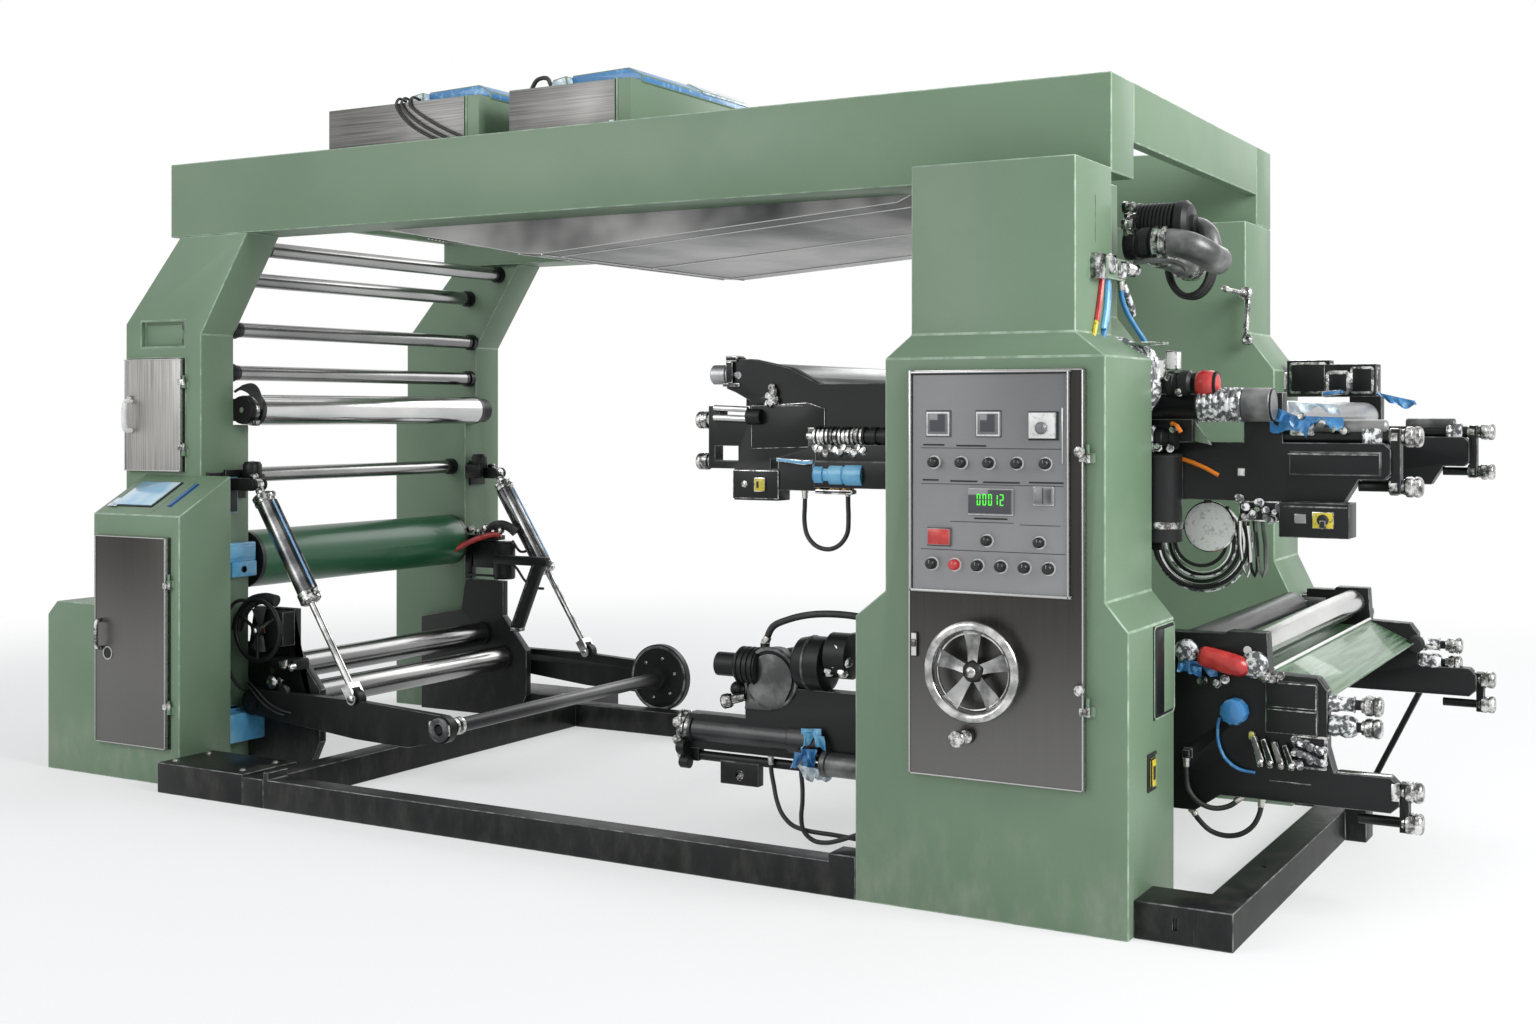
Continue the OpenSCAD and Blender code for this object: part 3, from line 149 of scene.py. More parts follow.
class Part:
    """A piece in the making. Shapes are added in the machine's millimetres, each in the finish in use."""

    def __init__(self, name, finish):
        self.name, self.mesh, self.finishes, self.now = name, bmesh.new(), [finish], 0

    def use(self, finish):
        if finish not in self.finishes:
            self.finishes.append(finish)
        self.now = self.finishes.index(finish)
        return self

    def face(self, corners):
        made = self.mesh.faces.new(corners)
        made.material_index = self.now
        return made

    def ease(self, faces, width, steps=2, angle=25):
        """Rounds the sharp edges of these faces."""
        if width:
            edges = {e for f in faces for e in f.edges if len(e.link_faces) == 2
                     and e.calc_face_angle(0) > math.radians(angle)}
            bmesh.ops.bevel(self.mesh, geom=list(edges), offset=width, segments=steps, profile=0.5,
                            affect="EDGES", clamp_overlap=True)
        return self

    def block(self, x0, x1, y0, y1, z0, z1, ease=2.0):
        return self.slab("xy", [(x0, y0), (x1, y0), (x1, y1), (x0, y1)], z0, z1, ease)

    def slab(self, plane, outline, a, b, ease=2.0):
        """An outline in the xy, xz or yz plane, drawn out from a to b across it."""
        order = {"xy": (0, 1, 2), "xz": (0, 2, 1), "yz": (2, 0, 1)}[plane]
        rows = []
        for w in (min(a, b), max(a, b)):
            rows.append([self.mesh.verts.new([(u, v, w)[i] for i in order]) for u, v in outline])
        faces = [self.face(rows[0]), self.face(rows[1])]
        for i in range(len(outline)):
            j = (i + 1) % len(outline)
            faces.append(self.face([rows[0][i], rows[0][j], rows[1][j], rows[1][i]]))
        bmesh.ops.recalc_face_normals(self.mesh, faces=faces)
        return self.ease(faces, ease)

    def turned(self, start, axis, profile, steps=32, closed=False):
        """A turned shape: profile is (radius, distance from start along axis) pairs."""
        axis = Vector(axis).normalized()
        side = axis.orthogonal().normalized()
        up = axis.cross(side)
        rings = []
        for r, h in profile:
            centre = Vector(start) + axis * h
            if r <= 0:
                rings.append([self.mesh.verts.new(centre)] * steps)
            else:
                turns = [2 * math.pi * i / steps for i in range(steps)]
                rings.append([self.mesh.verts.new(centre + (side * math.cos(a) + up * math.sin(a)) * r)
                              for a in turns])
        for lower, upper in zip(rings, rings[1:] + (rings[:1] if closed else [])):
            for i in range(steps):
                j = (i + 1) % steps
                corners = list(dict.fromkeys([lower[i], lower[j], upper[j], upper[i]]))
                if len(corners) > 2:
                    self.face(corners)
        if not closed:
            for ring, flip in ((rings[0], True), (rings[-1], False)):
                if ring[0] is not ring[1]:
                    self.face(ring[::-1] if flip else ring)
        return self

    def rod(self, start, end, radius, steps=24, ease=1.0):
        start, end = Vector(start), Vector(end)
        long = (end - start).length
        c = min(ease, radius / 3)
        return self.turned(start, end - start, [(radius - c, 0), (radius, c), (radius, long - c),
                (radius - c, long)], steps)

    def pipe(self, points, radius, sides=10, closed=False):
        """A round tube along points, each ring square to the line through its neighbours."""
        points = [Vector(p) for p in points]
        count = len(points)
        side, rings = None, []
        for i, p in enumerate(points):
            before = points[i - 1] if i or closed else p
            after = points[(i + 1) % count] if i + 1 < count or closed else p
            run = (after - before).normalized()
            side = run.orthogonal() if side is None else side - run * side.dot(run)
            side.normalize()
            up = run.cross(side)
            rings.append([self.mesh.verts.new(p + (side * math.cos(2 * math.pi * k / sides) + up * math.sin(2 * math.pi * k / sides)) * radius)
                          for k in range(sides)])
        for lower, upper in zip(rings, rings[1:] + (rings[:1] if closed else [])):
            for i in range(sides):
                j = (i + 1) % sides
                self.face([lower[i], lower[j], upper[j], upper[i]])
        if not closed:
            self.face(rings[0][::-1])
            self.face(rings[-1])
        return self

    def done(self, body, slot, *stands_for, sharp=32):
        bmesh.ops.recalc_face_normals(self.mesh, faces=self.mesh.faces)
        for v in self.mesh.verts:
            v.co = at(*v.co)
        mesh = bpy.data.meshes.new(self.name)
        self.mesh.to_mesh(mesh)
        self.mesh.free()
        return settle(self.name, mesh, self.finishes, body, slot, *stands_for, sharp=sharp)


def settle(name, mesh, finishes, body, slot, *stands_for, sharp=32):
    """Makes the mesh an object with its finishes, and fixes it to the body that carries it."""
    mesh.shade_smooth()
    mesh.set_sharp_from_angle(angle=math.radians(sharp))
    if not mesh.materials:
        for finish in finishes:
            mesh.materials.append(finish.material)
    made = bpy.data.objects.new(name, mesh)
    bpy.context.scene.collection.objects.link(made)
    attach(made, body)
    if stands_for:
        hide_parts(*stands_for)
    return made


def smooth_route(points, per_span=6):
    """A smooth line through the points, with per_span steps between each two."""
    points = [Vector(p) for p in points]
    padded = [points[0] * 2 - points[1], *points, points[-1] * 2 - points[-2]]
    line = []
    for i in range(1, len(padded) - 2):
        a, b, c, d = padded[i - 1:i + 3]
        for k in range(per_span):
            t = k / per_span
            line.append(0.5 * (2 * b + (c - a) * t + (2 * a - 5 * b + 4 * c - d) * t * t + (3 * b - a - 3 * c + d) * t ** 3))
    return line + [points[-1]]


rubber = Finish("hose_rubber", (0.012, 0.012, 0.013), 0.55)
weave = rubber.noise(900, (1, 1, 1), 2)
rubber.set(**{"Base Color": rubber.blend(rubber.noise(14).fade(0.45, 0.75), (0.012, 0.012, 0.013),
        (0.045, 0.044, 0.042)),
              "Roughness": rubber.noise(40) * 0.25 + 0.4}).bump(weave, 0.0004, 0.5)
blue_tube = Finish("blue_tube", (0.02, 0.19, 0.42), 0.3, coat=0.3)
blue_tube.set(Roughness=blue_tube.noise(60) * 0.3 + 0.2)
crimp = Finish("crimped_fitting", (0.55, 0.53, 0.5), 0.3, 1.0)
crimp.set(Roughness=crimp.noise(120) * 0.3 + 0.2)

hoses = {
    "left_upper_route": (8.5, rubber, [
        (-1406, 575, 1290), (-1406, 573, 1235), (-1406, 570, 1180), (-1392, 565, 1129),
        (-1353, 558, 1092), (-1299, 552, 1081), (-1249, 545, 1099), (-1215, 539, 1141),
        (-1207, 534, 1195), (-1207, 531, 1250), (-1207, 530, 1305)]),
    "left_lower_route": (8.5, rubber, [
        (-1560, 592, 300), (-1555, 588, 247), (-1539, 579, 196), (-1523, 571, 147), (-1496, 563, 101),
        (-1454, 559, 67), (-1403, 561, 53), (-1350, 567, 48), (-1296, 573, 46), (-1243, 580, 42),
        (-1190, 585, 38), (-1137, 589, 37), (-1080, 591, 42), (-1029, 592, 49), (-975, 592, 56),
        (-918, 592, 62), (-864, 592, 66), (-810, 592, 66)]),
    "left_looped_route": (8.5, rubber, [
        (-1432, 592, 300), (-1429, 588, 251), (-1417, 575, 202), (-1408, 558, 152), (-1406, 546, 102),
        (-1393, 540, 55), (-1353, 540, 25), (-1303, 543, 22), (-1255, 549, 34), (-1207, 560, 52),
        (-1159, 569, 72), (-1112, 579, 91), (-1064, 586, 107), (-1015, 590, 119), (-964, 592, 127),
        (-914, 592, 131), (-862, 592, 132), (-810, 592, 132)]),
    "left_arched_route": (13, rubber, [
        (-1600, 620, 715), (-1564, 614, 778), (-1494, 607, 810), (-1420, 603, 830), (-1346, 600, 840),
        (-1267, 600, 842), (-1190, 602, 837), (-1114, 606, 824), (-1040, 610, 811), (-964, 615, 797),
        (-888, 619, 787), (-810, 620, 784)]),
    "right_inner_route": (8.5, rubber, [
        (8, 572, 452), (8, 568, 401), (15, 569, 351), (46, 575, 312), (93, 585, 295), (142, 599, 306),
        (178, 613, 338)]),
    "right_outer_route": (8.5, rubber, [
        (10, 615, 280), (39, 606, 247), (76, 607, 216), (124, 609, 205), (172, 610, 215),
        (211, 611, 245), (233, 613, 288), (240, 617, 338)]),
    "neck_route": (8.5, blue_tube, [
        (-172, 444, 2000), (-169, 450, 1945), (-154, 465, 1894), (-131, 485, 1846), (-108, 505, 1799),
        (-98, 516, 1745)]),
}
for name, (radius, finish, route) in hoses.items():
    line = smooth_route(route)
    hose = Part(name.replace("_route", "") + "_tube", finish).pipe(line, radius, 12)
    hose = hose.done("machine_frame", "hose_plastic" if name == "neck_route" else "black_rubber",
            name.replace("_route", "_hose"))
    placed = [at(*p) for p in line]
ends = Part("hose_fittings", crimp)
for name, (radius, finish, route) in hoses.items():
    for tip, second in ((route[0], route[1]), (route[-1], route[-2])):
        tip, run = Vector(tip), (Vector(second) - Vector(tip)).normalized()
        ends.turned(tip, run, [(radius + 4, 0), (radius + 4, 9), (radius + 2.2, 10), (radius + 2.2, 26),
                               (radius + 1.4, 28), (radius + 0.2, 30)], 16)
ends.done("machine_frame", "chrome_steel")


# Base rails: rectangular steel tube welded into a frame, sprayed black, with thick foot
# plates under the winding station. The right side rail is drilled for its anchor bolts.
def enamel(name, color, worn, gloss, dust):
    """Sprayed enamel: uneven sheen, dust and scuffs near the floor, and a fine orange-peel skin."""
    made = Finish(name, color, gloss)
    patches = made.noise(1.7, detail=5)
    low = made.along.fade(0.4, 0.02)
    grime = low * made.noise(11, (1, 1, 0.4), 6, 0.65).fade(0.42, 0.72) * 0.55
    rubs = made.noise(26, (1, 1, 2.5), 8, 0.75).fade(0.66, 0.74) * 0.5
    tone = made.blend(patches.fade(0.32, 0.72), color, worn)
    tone = made.blend(grime, made.blend(rubs, tone, dust), dust)
    made.set(**{"Base Color": tone, "Roughness": patches * 0.2 + grime * 0.3 + (gloss - 0.08)})
    return made.bump(made.noise(330, detail=2), 0.0002, 0.35)


def eased(node, width, finish, rim, slot, body="machine_frame", shortest=0.03):
    """A folded or cast piece with rounded edges, made on the shape of its CAD node. The bevel faces take the
    rim finish: a paler colour that is a painted edge highlight, and on black pieces also rubbed wear.
    """
    shape = bmesh.new()
    shape.from_mesh(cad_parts[node].data)
    bmesh.ops.remove_doubles(shape, verts=shape.verts, dist=2e-5)
    bmesh.ops.dissolve_limit(shape, angle_limit=math.radians(1), verts=shape.verts, edges=shape.edges)
    edges = [e for e in shape.edges if len(e.link_faces) == 2 and e.calc_face_angle(0) > math.radians(25)
             and e.calc_length() > shortest]
    bmesh.ops.bevel(shape, geom=edges, offset=width / 1000, segments=2, profile=0.5, affect="EDGES",
                    clamp_overlap=False, material=1)
    mesh = bpy.data.meshes.new(node + "_shell")
    shape.to_mesh(mesh)
    shape.free()
    return settle(node + "_shell", mesh, [finish, rim], body, slot, node)


black = enamel("black_enamel", (0.007, 0.0075, 0.008), (0.013, 0.0135, 0.014), 0.36, (0.06, 0.058, 0.053))
black.set(**{"Specular IOR Level": 0.25})
# Rubbed black for the bevels and thin lines on the black pieces: real rubbed wear with a painted edge
# highlight.
black_wear_and_edge_highlight = Finish("rubbed_black_edge_highlight", (0.09, 0.092, 0.094), 0.35)
black_wear_and_edge_highlight.set(**{"Base Color": black_wear_and_edge_highlight.blend(black_wear_and_edge_highlight.noise(21, detail=6).fade(0.38, 0.66),
        (0.03, 0.031, 0.032), (0.2, 0.2, 0.2)),
                 "Roughness": black_wear_and_edge_highlight.noise(70) * 0.3 + 0.25})
for rail in ("base_front_rail", "base_rear_rail", "base_left_crossbar", "base_right_rail"):
    eased(rail, 3.5, black, black_wear_and_edge_highlight, "black_paint", shortest=0.02)


# Screws and bolts: hexagon heads on washers, zinc plated. They hold the foot plates and the
# rubber drum's bearing flanges.
class Tree:
    """A Geometry Nodes tree in the making, with named inputs for its sizes."""

    def __init__(self, name, **sizes):
        self.group = bpy.data.node_groups.new(name, "GeometryNodeTree")
        self.group.interface.new_socket("Geometry", in_out="INPUT", socket_type="NodeSocketGeometry")
        self.sizes = {}
        for key, value in sizes.items():
            kind = "NodeSocketInt" if isinstance(value, int) else "NodeSocketFloat"
            socket = self.group.interface.new_socket(key.replace("_", " "), in_out="INPUT", socket_type=kind)
            socket.default_value = value
            self.sizes[key] = socket.identifier
        self.group.interface.new_socket("Geometry", in_out="OUTPUT", socket_type="NodeSocketGeometry")
        self.start = self.group.nodes.new("NodeGroupInput")
        self.end = self.group.nodes.new("NodeGroupOutput")

    def size(self, key):
        return next(s for s in self.start.outputs if s.identifier == self.sizes[key])

    def add(self, kind, settings=None, inputs=None, output=0):
        made = self.group.nodes.new(kind)
        for key, value in (settings or {}).items():
            setattr(made, key, value)
        for key, value in (inputs or {}).items():
            if isinstance(value, bpy.types.NodeSocket):
                self.group.links.new(value, made.inputs[key])
            else:
                made.inputs[key].default_value = value
        return made.outputs[output]

    def grow(self, name, seeds, finish, body, slot, facing=None, stands_for=(), **sizes):
        """Runs the tree on points and keeps its result as a plain mesh on one body."""
        mesh = bpy.data.meshes.new(name)
        mesh.from_pydata([at(*p) for p in seeds], [], [])
        if facing:
            ways = mesh.attributes.new("facing", "FLOAT_VECTOR", "POINT")
            for entry, way in zip(ways.data, facing):
                entry.vector = way
        holder = bpy.data.objects.new(name + "_seeds", mesh)
        bpy.context.scene.collection.objects.link(holder)
        modifier = holder.modifiers.new("grow", "NODES")
        modifier.node_group = self.group
        for key, value in sizes.items():
            modifier[self.sizes[key]] = value
        grown = bpy.data.meshes.new_from_object(holder.evaluated_get(bpy.context.evaluated_depsgraph_get()))
        holder.modifiers.remove(modifier)
        bpy.data.objects.remove(holder)
        grown.materials.clear()
        return settle(name, grown, [finish], body, slot, *stands_for)


zinc = Finish("zinc_plate", (0.5, 0.49, 0.46), 0.35, 1.0)
zinc.set(**{"Base Color": zinc.blend(zinc.noise(30).fade(0.4, 0.7), (0.52, 0.51, 0.48), (0.28, 0.26, 0.22)),
            "Roughness": zinc.noise(90) * 0.4 + 0.2})
bolt = Tree("bolt_rows", head_radius=0.009, head_height=0.007, washer_radius=0.013, washer_height=0.002)
spots = bolt.start.outputs[0]
turn = bolt.add("FunctionNodeAlignRotationToVector", {"axis": "Z"}, {
    "Vector": bolt.add("GeometryNodeInputNamedAttribute", {"data_type": "FLOAT_VECTOR"}, {"Name": "facing"})})
head = bolt.add("GeometryNodeMeshCylinder", {}, {"Vertices": 6, "Radius": bolt.size("head_radius"),
        "Depth": bolt.size("head_height")})
washer = bolt.add("GeometryNodeMeshCylinder", {}, {"Vertices": 20, "Radius": bolt.size("washer_radius"),
        "Depth": bolt.size("washer_height")})
lift = bolt.add("ShaderNodeCombineXYZ", {}, {"Z": bolt.add("ShaderNodeMath", {"operation": "MULTIPLY"},
        {0: bolt.size("head_height"), 1: 0.5})})
head = bolt.add("GeometryNodeTransform", {}, {"Geometry": head, "Translation": lift})
both = bolt.group.nodes.new("GeometryNodeJoinGeometry")
for part in (head, washer):
    bolt.group.links.new(part, both.inputs[0])
placed = bolt.add("GeometryNodeInstanceOnPoints", {}, {"Points": spots, "Instance": both.outputs[0],
        "Rotation": turn})
placed = bolt.add("GeometryNodeRealizeInstances", {}, {"Geometry": placed})
bolt.group.links.new(bolt.add("GeometryNodeSetMaterial", {},
        {"Geometry": placed, "Material": zinc.material}), bolt.end.inputs[0])

LEFT, RIGHT, FRONT, BACK, UP = (-1, 0, 0), (1, 0, 0), (0, -1, 0), (0, 1, 0), (0, 0, 1)
foot_bolts = [(x, y, 125) for x in (-4110, -3720) for y in (60, 240, 2240, 2430)]
bolt.grow("foot_bolts", foot_bolts, zinc, "machine_frame", "chrome_steel", [UP] * len(foot_bolts),
          head_radius=0.010, washer_radius=0.016)


# Columns and beams: box sections folded and welded from plate, filled and sprayed sage
# green. The front left column holds a small access door and a hatch over its terminals.
green = enamel("sage_enamel", (0.155, 0.236, 0.152), (0.134, 0.212, 0.132), 0.42, (0.29, 0.32, 0.26))
# Pale sage for the bevels, outlines and thin lines on the green casings: a painted edge highlight.
green_edge_highlight = Finish("pale_sage_edge_highlight", (0.25, 0.35, 0.25), 0.38)
green_edge_highlight.set(**{"Base Color": green_edge_highlight.blend(green_edge_highlight.noise(17, detail=5).fade(0.35, 0.7),
        (0.2, 0.3, 0.2), (0.38, 0.48, 0.38)),
                 "Roughness": green_edge_highlight.noise(60) * 0.3 + 0.25})
for casing in ("front_left_column", "rear_left_column", "front_right_column", "rear_right_column",
               "front_beam", "rear_beam", "cross_panels"):
    eased(casing, 4.5, green, green_edge_highlight, "machine_paint", shortest=0.05)
hatch = Part("terminal_hatch", green)
hatch.block(-4690, -4460, 416, 424, 1872, 1965, 1)
hatch.use(black).block(-4456, -4446, 404, 424, 1880, 1905, 2).block(-4456, -4446, 404, 424, 1940, 1968, 2)
# The pale outline round the hatch is a painted edge highlight.
hatch.use(green_edge_highlight).pipe([(-4711, 401, 1870), (-4711, 401, 1983), (-4437, 401, 1983), (-4437, 401, 1870)],
        2.2, 6, True)
hatch.done("machine_frame", "machine_paint")


# Weld beads: a filler bead shows where each box section's plates meet, ground by hand
# and painted over, on the beams' lower edges and the rails' corners.
bead = Part("weld_beads", green)
for y in (632, 2248):
    bead.pipe([(-4460 + 1.2 * i * 20, y + 2 * math.sin(i * 1.7), 2351) for i in range(9)], 4, 6)
bead.use(black)
for x, y in ((184, 2100), (299, 2325), (184, 45), (-3545, 100), (-3545, 2100)):
    bead.pipe([(x, y, 12 + i * 14 + (i % 2)) for i in range(8)], 3.5, 6)
bead.done("machine_frame", "machine_paint")


# Dryer hood: a duct folded from dark stainless sheet, hung between the two beams. Its seams
# are welded flat, and a thin flange stiffens the floor's edges.
hood_steel = Finish("hood_steel", (0.16, 0.16, 0.158), 0.34, 1.0)
hood_grain = hood_steel.noise(160, (0.02, 1, 1), 3)
# The pale bands that run along the hood's length are a painted sheen.
hood_steel.set(**{"Base Color": hood_steel.blend(hood_steel.noise(1.6, (1, 0.3, 1), 3).fade(0.34, 0.7),
        (0.05, 0.052, 0.053), (0.36, 0.36, 0.352)),
                  "Roughness": hood_grain * 0.25 + 0.24}).bump(hood_grain, 0.0002, 0.3)
hood_rim = Finish("hood_rim", (0.5, 0.5, 0.49), 0.3, 1.0)
hood_rim.set(Roughness=hood_rim.noise(50) * 0.3 + 0.15)
eased("dryer_hood", 3, hood_steel, hood_rim, "brushed_stainless", shortest=0.05)
seams = Part("hood_seams", hood_rim)
for y in (760, 1440, 2120):
    seams.pipe([(-3440, y, 2349), (-3100, y, 2285), (-2762, y, 2220), (-2650, y, 2213.5), (-2100, y, 2252),
            (-1500, y, 2295), (-1066, y, 2325.5)], 2.5, 6)
for x, z in ((-2762, 2220.5), (-2648, 2214)):
    seams.pipe([(x, 634 + i * 161, z) for i in range(11)], 3, 6)
for i in range(5):
    seams.block(-3300 + i * 20, -3290 + i * 20, 700, 1100, 2312 - i * 3.8, 2317 - i * 3.8, 1)
seams.done("machine_frame", "brushed_stainless")


# Blower boxes: sage green sheet boxes with a brushed stainless front plate and a blue film
# still on their tops. Each one blows down through the beams into the hood.
dull_brushed = Finish("dull_brushed_stainless", (0.2, 0.196, 0.19), 0.4, 1.0)
dull_lines = dull_brushed.noise(210, (0.012, 1, 1), 3)
dull_brushed.set(**{"Base Color": dull_brushed.blend(dull_lines.fade(0.3,
        0.7) * 0.5 + dull_brushed.noise(1.6).fade(0.35, 0.7) * 0.5, (0.1, 0.098, 0.095), (0.27, 0.268, 0.26)),
                    "Roughness": dull_lines * 0.2 + 0.32}).bump(dull_lines, 0.0001, 0.3)
brushed = Finish("brushed_stainless", (0.34, 0.33, 0.32), 0.34, 1.0)
brush_lines = brushed.noise(210, (1, 1, 0.012), 3)
brushed.set(**{"Base Color": brushed.blend(brush_lines.fade(0.3, 0.7) * 0.6 + brushed.noise(1.3).fade(0.35,
        0.7) * 0.4, (0.2, 0.195, 0.185), (0.52, 0.515, 0.5)),
               "Roughness": brush_lines * 0.3 + 0.22}).bump(brush_lines, 0.00015, 0.4)
blue_film = Finish("blue_film", (0.035, 0.22, 0.5), 0.25, coat=0.5)
wrinkles = blue_film.noise(28, (1, 1, 1), 6, 0.7)
blue_film.set(**{"Base Color": blue_film.blend(wrinkles.fade(0.5, 0.72), (0.03, 0.2, 0.47),
        (0.25, 0.5, 0.72)),
                 "Roughness": wrinkles * 0.4 + 0.12}).bump(wrinkles, 0.004, 0.7)
clear_film = Finish("clear_film", (0.62, 0.7, 0.75), 0.2, coat=0.6)
clear_film.set(**{"Base Color": clear_film.blend(clear_film.noise(34, detail=6).fade(0.45, 0.62),
        (0.42, 0.52, 0.6), (0.8, 0.86, 0.9)),
                  "Roughness": clear_film.noise(50) * 0.4 + 0.08}).bump(clear_film.noise(40, detail=5),
                  0.003, 0.8)
boxes = Part("blower_casings", green)
for x0, x1, lid in ((-3725, -2915, -3260), (-2750, -2168, -2520)):
    boxes.use(green).block(x0, x1, 566, 1460, 2677, 2874, 4)
    boxes.use(dull_brushed).block(x0 - 3, x1 - 70, 558, 566, 2679, 2872, 1.5)
    # A pale strip at the front plate's edge: a painted edge highlight.
    boxes.use(green_edge_highlight).block(x1 - 66, x1 - 60, 560, 566, 2679, 2876, 1)
    boxes.use(blue_film).slab("xz", [(lid, 2875), (lid + 22, 2922), (x1 - 60, 2930), (x1 + 4, 2896), (x1 + 4,
            2866), (x1 - 6, 2862), (x1 - 10, 2875)], 640, 1452, 5)
    boxes.use(clear_film).slab("xz", [(lid - 60, 2875), (lid - 48, 2905), (lid + 20, 2916), (lid + 24,
            2875)], 600, 820, 6)
    boxes.use(clear_film).slab("xz", [(x1 - 150, 2930), (x1 - 60, 2936), (x1 + 6, 2902), (x1 + 6, 2888),
            (x1 - 60, 2922)], 1080, 1456, 3)
boxes.use(clear_film).block(-2266, -2236, 553, 562, 2684, 2716, 4)
boxes.done("machine_frame", "brushed_stainless", "blower_boxes")
feeds = Part("blower_air_pipes", rubber)
for k, x in enumerate((-3330, -3300, -3255)):
    feeds.pipe(smooth_route([(x, 600, 2885), (x - 6, 560, 2890), (x - 4, 545, 2850),
            (x + 70 + 22 * k, 540, 2775), (x + 190 + 30 * k, 545, 2710), (x + 280 + 30 * k, 560, 2678)]), 6,
            8)
feeds.pipe(smooth_route([(-2690, 620, 2876), (-2660, 620, 2915), (-2610, 620, 2918), (-2585, 620, 2876)]), 9,
        8)
feeds.done("machine_frame", "black_rubber")


# Extraction blower: a finned black motor on the press column's neck, and a grey duct that
# a chrome union joins to it. Black tube is coiled round the duct's far end.
chrome = Finish("chromed_steel", (0.62, 0.62, 0.61), 0.16, 1.0)
mottle = chrome.noise(34, (1, 1, 1), 6, 0.7)
chrome.set(**{"Base Color": chrome.blend(mottle.fade(0.4, 0.62), (0.1, 0.1, 0.1), (0.78, 0.78, 0.76)),
              "Roughness": mottle * 0.3 + 0.06}).bump(mottle, 0.002, 0.5)
duct_grey = Finish("duct_grey", (0.11, 0.112, 0.11), 0.3, 0.3)
duct_grey.set(**{"Base Color": duct_grey.blend(duct_grey.noise(9).fade(0.35, 0.7), (0.06, 0.062, 0.062),
        (0.24, 0.24, 0.235)),
                 "Roughness": duct_grey.noise(80) * 0.3 + 0.2})
blower = Part("extraction_blower", black)
blower.turned((-187, 650, 2190), RIGHT, [(60, 0), (60, 10), (84, 12), (84, 24)] + [(r,
        28 + i * 13 + d) for i in range(9) for r, d in ((74, 0), (81, 2), (81, 7), (74, 9))]
              + [(78, 148), (85, 150), (85, 176), (72, 190), (40, 194), (38, 204), (0, 204)], 36)
blower.turned((-187, 548, 2128), RIGHT, [(34, 0), (50, 2), (52, 10), (52, 40), (46, 44), (46, 52), (54, 56),
        (54, 84), (44, 88), (44, 110)], 32)
blower.use(chrome).turned((-92, 548, 2128), RIGHT, [(46, 0), (57, 4), (57, 20), (50, 24), (50, 32), (57, 36),
        (57, 48), (46, 52)], 32)
blower.use(duct_grey).pipe(smooth_route([(-60, 548, 2128), (-20, 548, 2126), (24, 556, 2114),
        (58, 590, 2096), (74, 640, 2080), (78, 690, 2076)]), 47, 24)
blower.pipe(smooth_route([(-20, 700, 2196), (26, 690, 2182), (56, 668, 2150), (66, 660, 2110),
        (70, 680, 2080)]), 34, 18)
blower.use(chrome).turned((-132, 700, 2120), BACK, [(30, 0), (52, 4), (56, 20), (50, 24), (50, 40), (58, 44),
        (58, 62), (47, 66)], 28)
blower.use(duct_grey).pipe(smooth_route([(-157, 752, 2120), (-157, 820, 2120), (-157, 900, 2118),
        (-150, 1010, 2112), (-148, 1100, 2104)]), 49, 20)
blower.use(chrome).turned((-149, 1080, 2106), BACK, [(50, 0), (58, 6), (58, 26), (50, 32), (50, 56), (60,
        62), (60, 90), (44, 104), (0, 104)], 28)
blower.slab("yz", [(880, 2175), (960, 2196), (1040, 2150), (1010, 2080), (930, 2110)], -190, -128, 6)
for y, z in ((500, 2246), (520, 2212), (494, 2190), (512, 2166)):
    blower.turned((-180, y, z), RIGHT, [(0, -4), (16, -4), (20, 2), (20, 12), (13, 16), (13, 24), (17, 28),
            (17, 36), (0, 38)], 8)
blower.use(duct_grey).pipe(smooth_route([(-150, 520, 2066), (-90, 512, 2070), (-20, 508, 2062),
        (16, 512, 2046), (24, 514, 2030)]), 9, 8)
blower.done("machine_frame", "chrome_steel", "blower_motor")
coil = Part("duct_coil", rubber)
for turn in range(4):
    r = 102 + 6 * (turn % 2)
    coil.pipe([(-150 + r * math.cos(a) * 0.75, 1130 + turn * 20,
            2096 + r * math.sin(a)) for a in [i * math.pi / 20 for i in range(40)]], 9, 8, True)
coil.done("machine_frame", "black_rubber")


# Crank rod at the rear column's neck: a turned chrome lever with a ball at each end, and
# the shaft that it turns, which runs back to the blower's damper.
crank = Part("damper_crank", chrome)
crank.turned((-180, 2020, 2056), FRONT, [(0, -8), (14, -6), (16, 0), (16, 14), (9, 18), (9, 260), (13, 264),
        (13, 300), (0, 304)], 16)
crank.pipe(smooth_route([(-178, 2030, 2056), (-168, 2032, 2040), (-172, 2030, 1960), (-176, 2028, 1880),
        (-170, 2028, 1866)]), 11, 10)
crank.turned((-170, 2040, 1868), FRONT, [(0, -14), (17, -12), (22, 0), (22, 14), (14, 24), (0, 26)], 16)
crank.turned((-178, 2046, 2056), FRONT, [(0, -10), (22, -8), (26, 0), (26, 22), (18, 28), (0, 28)], 16)
crank.done("machine_frame", "chrome_steel")


